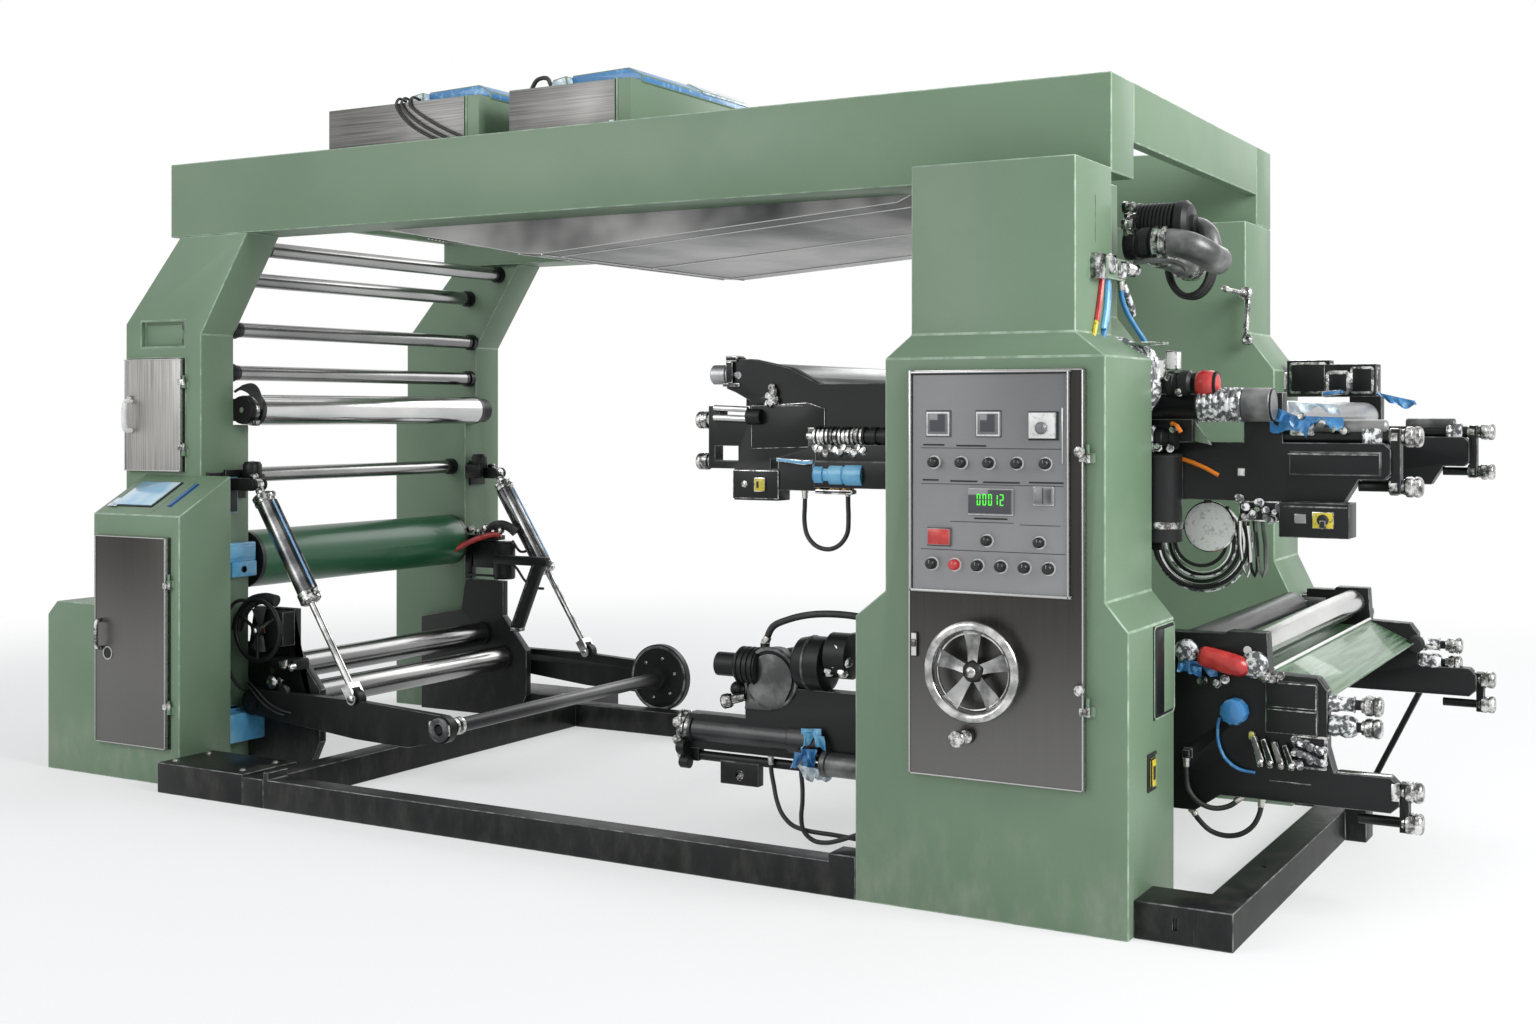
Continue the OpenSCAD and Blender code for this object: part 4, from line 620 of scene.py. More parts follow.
# Console: a desk cabinet of folded sheet against the front left column, with a sloping desk
# that holds a light-blue touch panel and a card slot, and a lower bay at its side.
eased("console_cabinet", 4.5, green, green_edge_highlight, "machine_paint", shortest=0.05)
sky_plastic = Finish("sky_blue_plastic", (0.12, 0.42, 0.68), 0.3, coat=0.3)
sky_tone = sky_plastic.noise(9, detail=4)
sky_plastic.set(**{"Base Color": sky_plastic.blend(sky_tone.fade(0.4, 0.7), (0.1, 0.38, 0.65),
        (0.22, 0.55, 0.78)),
                   "Roughness": sky_tone * 0.3 + 0.15}).bump(sky_tone, 0.002, 0.3)
screen = Finish("touch_screen", (0.32, 0.56, 0.72), 0.12, coat=0.6)
screen.set(**{"Base Color": screen.blend(screen.noise(5).fade(0.42, 0.6), (0.28, 0.55, 0.78),
        (0.5, 0.68, 0.78)),
              "Roughness": screen.noise(60) * 0.12 + 0.06})
deep_blue = Finish("deep_blue_plastic", (0.01, 0.12, 0.38), 0.3, coat=0.3)
deep_blue.set(Roughness=deep_blue.noise(40) * 0.3 + 0.2)


def on_desk(x0, x1, u0, u1, rise, sink=2):
    """A slab on the sloping desk: u runs up the slope from its front edge, in millimetres."""
    run, climb = 285 / math.hypot(285, 161), 161 / math.hypot(285, 161)
    point = lambda u, h: (115 + u * run - h * climb, 1138 + u * climb + h * run)
    return "yz", [point(u0, -sink), point(u1, -sink), point(u1, rise), point(u0, rise)], x0, x1


desk = Part("desk_controls", black)
desk.slab(*on_desk(-4630, -4375, 60, 262, 4), 2)
desk.use(screen).slab(*on_desk(-4622, -4383, 66, 256, 7, -3), 1.5)
desk.use(clear_film).slab(*on_desk(-4650, -4590, 52, 120, 6, -4), 2)
desk.use(deep_blue).slab(*on_desk(-4290, -4268, 70, 250, 7), 2)
# A thin pale strip on the desk: a painted edge highlight.
desk.use(green_edge_highlight).slab(*on_desk(-4346, -4340, 20, 300, 2), 0.5)
desk.done("machine_frame", "hose_plastic")


# Cabinet doors: brushed stainless leaves folded at their edges, hung on lift-off hinges.
# The upper one has a white bow handle, the lower one a turned grip and a cable hole.
white_grip = Finish("white_grip", (0.72, 0.72, 0.7), 0.3, coat=0.3)
white_grip.set(**{"Base Color": white_grip.blend(white_grip.noise(60).fade(0.5, 0.75), (0.76, 0.76, 0.74),
        (0.45, 0.45, 0.44)),
                  "Roughness": white_grip.noise(80) * 0.3 + 0.15})
shadow_gap = Finish("shadow_gap", (0.008, 0.009, 0.009), 0.7)
shadow_gap.set(Roughness=shadow_gap.noise(30) * 0.2 + 0.6)


def door_leaf(name, body, x0, x1, z0, z1, y0, y1, hinge_x, hinges, leaf):
    """A leaf with a folded bright edge, and the moving halves of its hinges."""
    door = Part(name + "_leaf", leaf)
    door.block(x0, x1, y0, y1, z0, z1, 2)
    door.use(hood_rim)
    for a, b, c, d in ((x0 - 1, x0 + 5, z0 - 1, z1 + 1), (x1 - 5, x1 + 1, z0 - 1, z1 + 1),
            (x0, x1, z1 - 4, z1 + 1), (x0, x1, z0 - 1, z0 + 4)):
        door.block(a, b, y0 - 1.5, y1 - 2, c, d, 0.8)
    for z in hinges:
        door.use(chrome).turned((hinge_x, (y0 + y1) / 2, z), UP,
                [(0, 0), (8, 0), (9.4, 2), (9.4, 28), (8, 30), (0, 30)], 16)
        door.block(hinge_x - 24, hinge_x, y0 - 2, y0 + 4, z + 3, z + 27, 1)
    return door


upper = door_leaf("console_upper_door", "console_upper_door", -4794, -4438, 1315, 1813, 376, 398, -4428,
        (1405, 1695), brushed)
upper.use(white_grip).pipe(smooth_route([(-4752, 378, 1494), (-4752, 352, 1496), (-4752, 340, 1510),
        (-4752, 336, 1560), (-4752, 340, 1612), (-4752, 352, 1626), (-4752, 378, 1628)]), 12, 10)
upper.use(chrome).turned((-4752, 368, 1640), FRONT, [(0, -10), (12, -8), (12, 4), (8, 8), (0, 8)], 16)
upper.done("console_upper_door", "brushed_stainless", "console_upper_door")
dark_brushed = Finish("dark_brushed_stainless", (0.09, 0.086, 0.08), 0.36, 1.0)
dark_lines = dark_brushed.noise(260, (1, 1, 0.01), 3)
# Painted light: the leaf turns paler towards its bottom.
paler_low_painted_light = dark_brushed.along.fade(1.1, 0.4)
dark_brushed.set(**{"Base Color": dark_brushed.blend(paler_low_painted_light * 0.85 + dark_lines * 0.16,
        (0.036, 0.0345, 0.031), (0.17, 0.168, 0.164)),
                    "Roughness": dark_lines * 0.22 + 0.26}).bump(dark_lines, 0.00012, 0.35)
lower = door_leaf("console_lower_door", "console_lower_door", -4643, -4208, 155, 1045, 91, 113, -4198,
        (320, 830), dark_brushed)
lower.use(chrome).pipe(smooth_route([(-4600, 93, 560), (-4600, 72, 562), (-4600, 62, 575), (-4600, 60, 620),
        (-4600, 62, 665), (-4600, 72, 678), (-4600, 93, 680)]), 9, 10)
lower.use(shadow_gap).turned((-4560, 92, 540), FRONT, [(0, -4), (24, -4), (24, 3), (0, 3)], 20)
lower.use(hood_rim).turned((-4560, 92, 540), FRONT, [(24, -3), (29, -3), (29, 4), (24, 4)], 20, True)
lower.done("console_lower_door", "brushed_stainless", "console_lower_door")
gaps = Part("door_shadow_gaps", shadow_gap)
gaps.block(-4437, -4428, 397, 401, 1312, 1816, 0.5)
gaps.block(-4796, -4436, 397, 401, 1811, 1817, 0.5)
gaps.block(-4206, -4200, 112, 116, 152, 1048, 0.5)
# Pale strips beside the gaps: painted edge highlights.
gaps.use(green_edge_highlight).block(-4430, -4424, 397, 401.5, 1312, 1820, 0.5).block(-4800, -4424, 397, 401.5, 1818,
        1823, 0.5)
gaps.done("machine_frame", "dark_steel")


# Web guide boxes: light-blue plastic housings on the left column's inner side, one with a
# red funnel under it, and a yellow isolating switch on a black plate above them.
signal_red = Finish("signal_red", (0.5, 0.018, 0.016), 0.3, coat=0.4)
signal_red.set(**{"Base Color": signal_red.blend(signal_red.noise(18).fade(0.4, 0.7), (0.42, 0.012, 0.012),
        (0.62, 0.05, 0.04)),
                  "Roughness": signal_red.noise(30) * 0.3 + 0.2})
signal_yellow = Finish("signal_yellow", (0.62, 0.5, 0.03), 0.35, coat=0.2)
signal_yellow.set(**{"Base Color": signal_yellow.blend(signal_yellow.noise(60, detail=6).fade(0.55, 0.68),
        (0.66, 0.54, 0.03), (0.2, 0.16, 0.02)),
                     "Roughness": signal_yellow.noise(40) * 0.3 + 0.2})
guide_boxes = Part("web_guide_boxes", sky_plastic)
guide_boxes.block(-4342, -4298, 392, 690, 905, 992, 7)
guide_boxes.block(-4342, -4290, 540, 688, 838, 908, 6)
guide_boxes.block(-4300, -4290, 430, 664, 922, 978, 3)
guide_boxes.use(shadow_gap).turned((-4290, 610, 872), RIGHT,
        [(0, -4), (16, -4), (16, 2), (12, 3), (12, 0), (0, 0)], 16)
guide_boxes.use(signal_red).slab("yz", [(398, 906), (500, 906), (486, 850), (468, 770), (452, 716), (438,
        700), (430, 736), (412, 830)], -4336, -4306, 5)
guide_boxes.use(black).slab("yz", [(490, 900), (540, 900), (536, 800), (500, 700), (476, 700)], -4340, -4314,
        3)
guide_boxes.use(black).block(-4340, -4324, 424, 600, 96, 262, 2)
guide_boxes.use(sky_plastic).block(-4342, -4236, 436, 690, 112, 240, 8)
guide_boxes.use(blue_film).block(-4338, -4300, 452, 640, 238, 252, 4)
guide_boxes.use(black).block(-4340, -4316, 424, 598, 1128, 1287, 3)
guide_boxes.use(signal_yellow).block(-4318, -4298, 440, 500, 1146, 1268, 5)
guide_boxes.use(shadow_gap).block(-4299, -4294, 456, 480, 1190, 1224, 2)
guide_boxes.done("machine_frame", "hose_plastic")


# Control cabinet: a tall narrow-necked casing of folded sheet that stands in front of the
# press columns. Its right side has a rounded access plate and a yellow isolating switch.
eased("control_cabinet", 4.5, green, green_edge_highlight, "machine_paint", shortest=0.05)
side_plate = Part("side_access_plate", shadow_gap)
side_plate.block(0, 2.5, 238, 452, 622, 912, 0)
# The pale outline round the access plate is a painted edge highlight.
side_plate.use(green_edge_highlight).pipe([(3, 240 + dx, z) for dx, z in ((14, 624), (198, 624), (210, 636), (210, 898),
        (198, 910), (14, 910), (2, 898), (2, 636))], 2.4, 6, True)
side_plate.use(black).block(2, 8, 248, 330, 632, 902, 3)
side_plate.use(green).block(2, 7, 330, 440, 634, 900, 3)
side_plate.use(shadow_gap).block(0, 5, 176, 262, 410, 528, 3)
side_plate.use(signal_yellow).block(4, 14, 184, 230, 424, 514, 4)
side_plate.use(shadow_gap).block(13, 15.5, 196, 218, 448, 490, 1)
side_plate.use(green).block(3, 9, 232, 256, 416, 522, 2)
side_plate.done("machine_frame", "machine_paint")


# Control door: a dark brushed stainless leaf on two hinges at its right edge, with a latch
# and a crank knob under the handwheel.
leaf = door_leaf("control_door", "control_door", -708, -132, 437, 1707, -24, -2, -122, (661, 1423),
        dark_brushed)
leaf.use(white_grip).block(-700, -676, -31, -23, 806, 884, 5)
leaf.use(chrome).block(-696, -680, -36, -30, 838, 862, 3)
leaf.use(black).turned((-505, -24, 572), FRONT, [(0, -2), (24, -2), (24, 10), (18, 14), (0, 14)], 24)
leaf.use(chrome).turned((-505, -30, 572), FRONT, [(0, 0), (19, 0), (21, 4), (21, 14), (15, 18), (0, 18)], 24)
leaf.use(chrome).turned((-528, -30, 566), FRONT, [(0, 4), (13, 4), (13, 18), (24, 20), (27, 24), (27, 38),
        (24, 42), (9, 44), (8, 46), (0, 46)], 28)
for z in (742, 1457):
    leaf.use(chrome).turned((-140, -24, z), FRONT, [(0, -2), (15, -2), (15, 6), (11, 8), (11, 12), (16, 14),
            (16, 20), (0, 22)], 16)
leaf.done("control_door", "brushed_stainless", "control_door")


# Instrument panel: a grey anodised plate in a bright bezel on the door, with two meters, a
# key switch plate, black rotary knobs, a rocker, a red lamp and a counter with green digits.
panel_grey = Finish("anodised_panel", (0.27, 0.27, 0.275), 0.42, 0.35)
# Painted light and shade: the plate darkens towards its top and pales towards its bottom.
panel_painted_light = panel_grey.along.fade(1.7, 1.05)
panel_grain = panel_grey.noise(300, (0.03, 1, 1), 3)
panel_grey.set(**{"Base Color": panel_grey.blend(panel_painted_light * 0.8 + panel_grain * 0.15, (0.14, 0.142, 0.145),
        (0.3, 0.305, 0.312)),
                  "Roughness": panel_grain * 0.2 + 0.32})
knob_black = Finish("knob_black", (0.008, 0.008, 0.008), 0.3)
knob_black.set(Roughness=knob_black.noise(120) * 0.3 + 0.2)
glass_dark = Finish("meter_glass", (0.02, 0.024, 0.035), 0.1, coat=0.8)
glass_dark.set(Roughness=glass_dark.noise(40) * 0.1 + 0.05)
digit_green = Finish("digit_green", (0.05, 0.6, 0.03), 0.4,
        **{"Emission Color": (0.1, 1.0, 0.05, 1), "Emission Strength": 0.7})
digit_green.set(Roughness=digit_green.noise(90) * 0.2 + 0.3)
panel = Part("instrument_panel_face", panel_grey)
panel.block(-697, -174, -36, -24, 1020, 1703, 1)
panel.use(hood_rim)
for a, b, c, d in ((-702, -692, 1014, 1709), (-179, -172, 1014, 1702), (-697, -168, 1697, 1705),
        (-700, -166, 1014, 1023)):
    panel.block(a, b, -41, -26, c, d, 2)
panel.use(shadow_gap)
for a, b, c, d in ((-692, -689, 1023, 1697), (-692, -181, 1693, 1697)):
    panel.block(a, b, -38, -35, c, d, 0)
for x, z0, z1, inner in ((-600, 1503, 1577, 27), (-432, 1503, 1577, 25)):
    panel.use(shadow_gap).block(x - 43, x + 43, -38, -35, z0 - 4, z1 + 6, 1)
    panel.use(white_grip).block(x - 40, x + 40, -43, -37, z0 - 2, z1 + 2, 2)
    panel.use(panel_grey).block(x - 34, x + 34, -45, -42, z0 + 5, z1 - 5, 1)
    panel.use(glass_dark).block(x - inner, x + inner, -47, -44, z0 + 12, z1 - 6, 1)
panel.use(shadow_gap).block(-303, -203, -38, -35, 1490, 1580, 1)
panel.use(white_grip).block(-300, -213, -44, -37, 1496, 1576, 1.5)
panel.use(panel_grey).turned((-258, -43, 1528), FRONT, [(0, -1), (19, -1), (19, 6), (13, 13), (0, 15)], 24)


def rotary(x, z, r, cap):
    """A rotary knob on a bright ring, with a pointer line across its face."""
    panel.use(white_grip).turned((x, -36, z), FRONT, [(0, -1), (r + 4, -1), (r + 4, 2), (0, 2)], 28)
    panel.use(cap).turned((x, -37, z), FRONT, [(0, 0), (r, 0), (r, 14), (r - 2, 22), (r - 5, 26), (0, 27)],
            28)
    panel.use(panel_grey).block(x - 1, x + 1, -65, -62, z + 2, z + r - 5, 0.4)


for i in range(5):
    rotary(-614 + 92 * i, 1420, 17, knob_black)
for i in range(6):
    rotary(-621 + 77 * i, 1103, 17.5, signal_red if i == 1 else knob_black)
for x in (-436, -266):
    rotary(x, 1181, 16.5, knob_black)
panel.use(white_grip).block(-500, -349, -40, -36, 1258, 1343, 2)
panel.use(glass_dark).block(-497, -352, -48, -38, 1263, 1340, 2)
panel.use(digit_green)
for d, lit in enumerate(("abcdef", "abcdef", "abcdef", "bc", "abged")):
    x = -466 + 19 * d
    for key, (a, b, c, e) in {"a": (0, 11, 1322, 1325), "g": (0, 11, 1306, 1309), "d": (0, 11, 1290, 1293),
            "f": (0, 3, 1309, 1322),
                              "b": (9, 12, 1309, 1322), "e": (0, 3, 1293, 1306),
                              "c": (9, 12, 1293, 1306)}.items():
        if key in lit:
            panel.block(x + a, x + b, -49.2, -47.5, c, e, 0)
panel.use(white_grip).block(-287, -218, -40, -36, 1292, 1352, 6)
panel.use(duct_grey).block(-284, -221, -47, -38, 1296, 1349, 8)
panel.use(shadow_gap).block(-253, -251, -48, -46.5, 1298, 1347, 0)
panel.use(knob_black).block(-638, -556, -40, -36, 1158, 1218, 1)
panel.use(signal_red).block(-635, -559, -46, -38, 1162, 1214, 2)
panel.use(shadow_gap)
for x0, x1, z in ((-660, -190, 1464), (-660, -190, 1352), (-560, -350, 1236), (-330, -200, 1232),
        (-660, -184, 1147)):
    panel.block(x0, x1, -37, -35.5, z, z + 1.6, 0)
for x0, x1, z in ((-652, -580, 1472), (-540, -440, 1470), (-654, -600, 1362), (-560, -470, 1360),
        (-450, -330, 1358), (-300, -190, 1360), (-480, -370, 1246)):
    panel.block(x0, x1, -37, -35.5, z, z + 5, 0)
panel.use(hood_rim).block(-196, -190, -38, -35, 1420, 1590, 1)
panel.done("control_door", "brushed_stainless", "instrument_panel")


# Control handwheel: a polished steel rim cast with five broad dished spokes on a dark hub,
# turned on a short shaft that passes through the door.
dished = Finish("dished_spokes", (0.2, 0.2, 0.2), 0.32, 1.0)
dished.set(**{"Base Color": dished.blend(dished.noise(12).fade(0.35, 0.7), (0.1, 0.1, 0.1),
        (0.42, 0.42, 0.42)), "Roughness": dished.noise(80) * 0.3 + 0.2})
polished = Finish("polished_rim", (0.5, 0.5, 0.49), 0.14, 1.0)
polished.set(**{"Base Color": polished.blend(polished.noise(14, detail=5).fade(0.38, 0.66),
        (0.26, 0.26, 0.26), (0.72, 0.72, 0.71)),
                "Roughness": polished.noise(60) * 0.25 + 0.06})


def ring_line(x, y, z, r, steps=56):
    return [(x + r * math.cos(2 * math.pi * i / steps), y,
            z + r * math.sin(2 * math.pi * i / steps)) for i in range(steps)]


wheel = Part("control_handwheel_rim", polished)
wheel.pipe(ring_line(-469, -84, 780, 142), 16, 16, True)
wheel.pipe(ring_line(-469, -70, 780, 119), 5, 8, True)
wheel.use(dished)
for k in range(5):
    a = math.radians(90 + 72 * k)
    ca, sa = math.cos(a), math.sin(a)
    rows = []
    for r, half, y in ((26, 15, -76), (60, 18, -72), (95, 24, -72), (124, 30, -78)):
        rows.append([wheel.mesh.verts.new((-469 + r * ca - s * half * sa, y + t,
                780 + r * sa + s * half * ca)) for s, t in ((-1, 0), (0, 5), (1, 0), (1, 6), (0, 11), (-1,
                6))])
    for lower_row, upper_row in zip(rows, rows[1:]):
        for i in range(6):
            wheel.face([lower_row[i], lower_row[(i + 1) % 6], upper_row[(i + 1) % 6], upper_row[i]])
    wheel.face(rows[0][::-1])
    wheel.face(rows[-1])
wheel.use(knob_black).turned((-469, -30, 780), FRONT, [(0, 0), (32, 0), (36, 6), (36, 40), (30, 50), (22,
        56), (12, 64), (0, 66)], 32)
wheel.use(chrome).turned((-469, -88, 780), FRONT, [(0, 0), (17, 0), (17, 6), (12, 12), (0, 16)], 20)
wheel.use(dished).turned((-469, -2, 780), FRONT, [(0, 0), (14, 0), (14, 34), (0, 34)], 20)
wheel.done("control_handwheel", "chrome_steel", "control_handwheel")


# Web rollers: turned and chromed steel tube on black journals, in flanged bearings on the
# columns. The big drum is covered with smooth green rubber.
roller_steel = Finish("roller_chrome", (0.3, 0.3, 0.3), 0.2, 1.0)
roller_lines = roller_steel.noise(90, (1, 0.02, 1), 3)
roller_steel.set(**{"Base Color": roller_steel.blend(roller_steel.noise(2.2, (1, 0.3, 1), 4).fade(0.35, 0.7),
        (0.2, 0.2, 0.2), (0.46, 0.46, 0.455)),
                    "Roughness": roller_lines * 0.2 + 0.12})
bright_roller = Finish("bright_chrome", (0.62, 0.62, 0.61), 0.16, 1.0)
bright_roller.set(**{"Base Color": bright_roller.blend(bright_roller.noise(3, (1, 0.3, 1), 4).fade(0.35,
        0.7), (0.5, 0.5, 0.5), (0.74, 0.74, 0.73)),
                     "Roughness": bright_roller.noise(70, (1, 0.05, 1)) * 0.2 + 0.08})
grey_roller = Finish("satin_roller", (0.36, 0.365, 0.37), 0.34, 0.6)
grey_roller.set(**{"Base Color": grey_roller.blend(grey_roller.noise(3, (1, 0.4, 1), 4).fade(0.35, 0.7),
        (0.26, 0.262, 0.265), (0.46, 0.465, 0.47)),
                   "Roughness": grey_roller.noise(90, (1, 0.05, 1)) * 0.25 + 0.2})
dark_roller = Finish("dark_rubber_roller", (0.022, 0.022, 0.024), 0.34, coat=0.15)
dark_roller.set(**{"Base Color": dark_roller.blend(dark_roller.noise(4, (1, 0.3, 1), 4).fade(0.4, 0.7),
        (0.014, 0.014, 0.016), (0.05, 0.05, 0.053)),
                   "Roughness": dark_roller.noise(80, (1, 0.05, 1)) * 0.2 + 0.25})
green_rubber = Finish("green_rubber", (0.012, 0.105, 0.042), 0.36, coat=0.15)
green_rubber.set(**{"Base Color": green_rubber.blend(green_rubber.noise(2.5, (1, 0.4, 1), 4).fade(0.35, 0.7),
        (0.009, 0.088, 0.034), (0.02, 0.13, 0.055)),
                    "Roughness": green_rubber.noise(120,
                    detail=4) * 0.25 + 0.22}).bump(green_rubber.noise(500), 0.0002, 0.3)
journal = Finish("black_journal", (0.012, 0.012, 0.012), 0.3)
journal.set(Roughness=journal.noise(60) * 0.3 + 0.2)
for finish, nodes in ((roller_steel, ("guide_roller_1", "guide_roller_2", "guide_roller_3", "guide_roller_4",
        "guide_roller_5",
                                      "winding_drum_rear", "winding_drum_front")),
                      (bright_roller, ("chrome_roller", "right_anilox_roller")),
                      (green_rubber, ("rubber_drum",)),
                      (grey_roller, ("left_upper_roller", "right_upper_roller")),
                      (dark_roller, ("left_lower_roller", "right_ink_roller"))):
    for node in nodes:
        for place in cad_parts[node].material_slots:
            place.material = finish.material
for name, x, z, r, y0, y1 in (
        ("guide_roller_1", -4180, 2303, 34, 626, 2254), ("guide_roller_2", -4380, 2182, 34, 626, 2254),
        ("guide_roller_3", -4360, 1949, 34, 626, 2254), ("guide_roller_4", -4376, 1755, 34, 626, 2254),
        ("guide_roller_5", -4424, 1289, 34, 716, 2164), ("chrome_roller", -4288, 1587, 70, 656, 2224),
        ("rubber_drum", -4410, 905, 130, 716, 2164), ("winding_drum_rear", -4190, 420, 60, 726, 2154),
        ("winding_drum_front", -4050, 305, 60, 726, 2154), ("left_upper_roller", -1700, 1715, 50, 656, 2224),
        ("left_lower_roller", -1500, 620, 80, 656, 2224), ("right_upper_roller", 250, 1560, 55, 662, 2218),
        ("right_anilox_roller", 200, 812, 50, 656, 2224), ("right_ink_roller", 5, 800, 60, 656, 2034)):
    ends = Part(name + "_ends", journal)
    for y, way in ((y0, 1), (y1, -1)):
        ends.turned((x, y, z), (0, way, 0), [(0, -1.5), (r - 6, -1.5), (r + 0.8, 0), (r + 0.8, 22), (r - 1,
                24), (0, 24)], 40)
        ends.use(chrome)
        for k in range(4):
            a = math.radians(45 + 90 * k)
            ends.turned((x + r * 0.62 * math.cos(a), y, z + r * 0.62 * math.sin(a)), (0, -way, 0),
                    [(0, 0.5), (5, 0.5), (5, 4.5), (3.5, 5.2), (0, 5.2)], 6)
        ends.use(journal)
    ends.done(name, "black_rubber")


# Roller bearings: black cast flanges screwed to the columns, and a chromed swivel housing
# with a cable boot on the big chrome roller's near end.
eased("roller_bearings", 2, black, black_wear_and_edge_highlight, "black_paint", shortest=0.01)
boot = Part("roller_cable_boot", rubber)
for k in range(5):
    boot.pipe(smooth_route([(-4340 + 5 * k, 600 + 6 * k, 1668 + 6 * k),
            (-4318 + 8 * k, 612 + 9 * k, 1682 + 5 * k), (-4290 + 8 * k, 626 + 8 * k, 1672 + 3 * k),
            (-4262 + 7 * k, 640 + 4 * k, 1646 - 2 * k), (-4238 + 4 * k, 646, 1612 - 6 * k)]), 6.5, 8)
boot.use(chrome).turned((-4288, 594, 1587), BACK, [(63.5, 30), (66, 34), (66, 46), (63.5, 50)], 36, True)
boot.use(black).turned((-4288, 600, 1587), BACK, [(63, 0), (65, 4), (65, 22), (63, 26)], 36, True)
boot.use(chrome).block(-4240, -4218, 606, 640, 1516, 1544, 6).block(-4386, -4379, 600, 640, 1545, 1630, 3)
boot.done("machine_frame", "black_rubber")
screws = [(x + dx, y, z + dz) for x, z, r in ((-4410, 905, 58),) for y in (712, 2168) for dx,
        dz in ((r, 0), (-r, 0), (0, r), (0, -r))]
bolt.grow("bearing_screws", screws, zinc, "machine_frame", "chrome_steel",
        [BACK if y < 1400 else FRONT for _, y, _ in screws],
          head_radius=0.006, head_height=0.005, washer_radius=0.009)


# Winding station: two profiled black side plates carry the steel winding drums. A gearbox,
# a black handwheel and its dished guard stand on the front plate.
eased("winder_side_plates", 2.5, black, black_wear_and_edge_highlight, "black_paint", shortest=0.02)
station = Part("winder_station_fittings", black)
station.turned((-4140, 596, 613), BACK, [(0, 0), (70, 0), (92, 8), (92, 16), (60, 22), (0, 22)], 32)
station.use(chrome).turned((-4010, 560, 470), BACK, [(0, 0), (18, 2), (22, 8), (22, 40), (15, 46), (15,
        118)], 18)
station.turned((-3972, 600, 458), FRONT, [(0, 0), (14, 0), (18, 6), (18, 22), (9, 28), (0, 30)], 14)
station.turned((-4090, 604, 385), FRONT, [(0, 0), (26, 0), (30, 8), (30, 26), (18, 34), (0, 36)], 18)
station.turned((-4046, 604, 392), FRONT, [(0, 0), (13, 0), (16, 5), (16, 22), (0, 26)], 14)
station.use(black).block(-4140, -3960, 600, 680, 440, 490, 8)
station.use(knob_black).turned((-4030, 606, 345), FRONT, [(0, 0), (30, 2), (34, 8), (34, 18), (26, 24), (0,
        26)], 20)
station.use(black).pipe([(-4140, 594, 484), (-4060, 594, 472), (-3985, 594, 476)], 16, 12)
station.done("machine_frame", "black_paint")
guard = Part("drum_scraper_hoses", rubber)
guard.pipe(smooth_route([(-4200, 585, 720), (-4262, 575, 738), (-4310, 560, 716), (-4336, 545, 650),
        (-4340, 540, 560), (-4334, 542, 480), (-4310, 548, 410), (-4272, 556, 360), (-4236, 566, 342)]), 8, 8)
guard.pipe(smooth_route([(-4120, 640, 736), (-4190, 632, 744), (-4260, 620, 722), (-4306, 606, 660),
        (-4326, 600, 600)]), 26, 12)
guard.pipe(smooth_route([(-4230, 566, 372), (-4170, 556, 330), (-4110, 552, 290), (-4040, 552, 262),
        (-3990, 560, 250)]), 5, 8)
guard.pipe(smooth_route([(-4216, 564, 384), (-4150, 553, 346), (-4080, 550, 300), (-4010, 551, 274),
        (-3950, 560, 262)]), 4, 8)
guard.done("machine_frame", "black_rubber")
strut = Part("web_tension_strut", black)
strut.slab("xz", [(-3968, 470), (-3898, 470), (-3760, 800), (-3830, 800)], 2110, 2150, 4)
strut.use(chrome).block(-3962, -3904, 2104, 2156, 452, 474, 4)
# A thin rubbed strip along the strut's edge: wear with a painted edge highlight.
strut.use(black_wear_and_edge_highlight).slab("xz", [(-3955, 478), (-3948, 478), (-3812, 796), (-3819, 796)], 2106, 2112, 1)
strut.use(black).block(-4080, -3740, 2112, 2148, 792, 838, 4)
strut.done("machine_frame", "black_paint")


# Winder handwheel: a black ring on three thin spokes, with a small dished vane behind it
# that is held by a red clamp and turns with it.
winder_wheel = Part("winder_handwheel_rim", black)
winder_wheel.pipe(ring_line(-4140, 545, 613, 133), 10.5, 14, True)
for a in (30, 150, 270):
    ca, sa = math.cos(math.radians(a)), math.sin(math.radians(a))
    winder_wheel.use(chrome if a == 30 else black).pipe([(-4140 + 16 * ca, 545, 613 + 16 * sa),
            (-4140 + 128 * ca, 545, 613 + 128 * sa)], 7.5, 10)
winder_wheel.use(black).turned((-4140, 528, 613), BACK, [(0, 0), (22, 0), (26, 5), (26, 28), (22, 32), (12.5,
        34), (12.5, 129), (0, 129)], 24)
winder_wheel.use(chrome).turned((-4140, 530, 613), FRONT, [(0, -2), (15, -2), (15, 4), (9, 9), (0, 10)], 16)
winder_wheel.use(duct_grey)
for a0, a1, r0, r1 in ((75, 130, 26, 104), (230, 292, 26, 98)):
    vane = [(-4140 + r0 * math.cos(math.radians(a0)), 613 + r0 * math.sin(math.radians(a0)))]
    vane += [(-4140 + r1 * math.cos(math.radians(a)),
            613 + r1 * math.sin(math.radians(a))) for a in range(a0, a1 + 1, 7)]
    vane += [(-4140 + r0 * math.cos(math.radians(a1)), 613 + r0 * math.sin(math.radians(a1)))]
    winder_wheel.slab("xz", vane, 566, 571, 1)
winder_wheel.use(signal_red).slab("xz", [(-4196, 626), (-4150, 634), (-4116, 626), (-4112, 600), (-4150,
        598), (-4190, 588)], 556, 567, 3)
winder_wheel.done("winder_handwheel", "black_paint", "winder_handwheel")


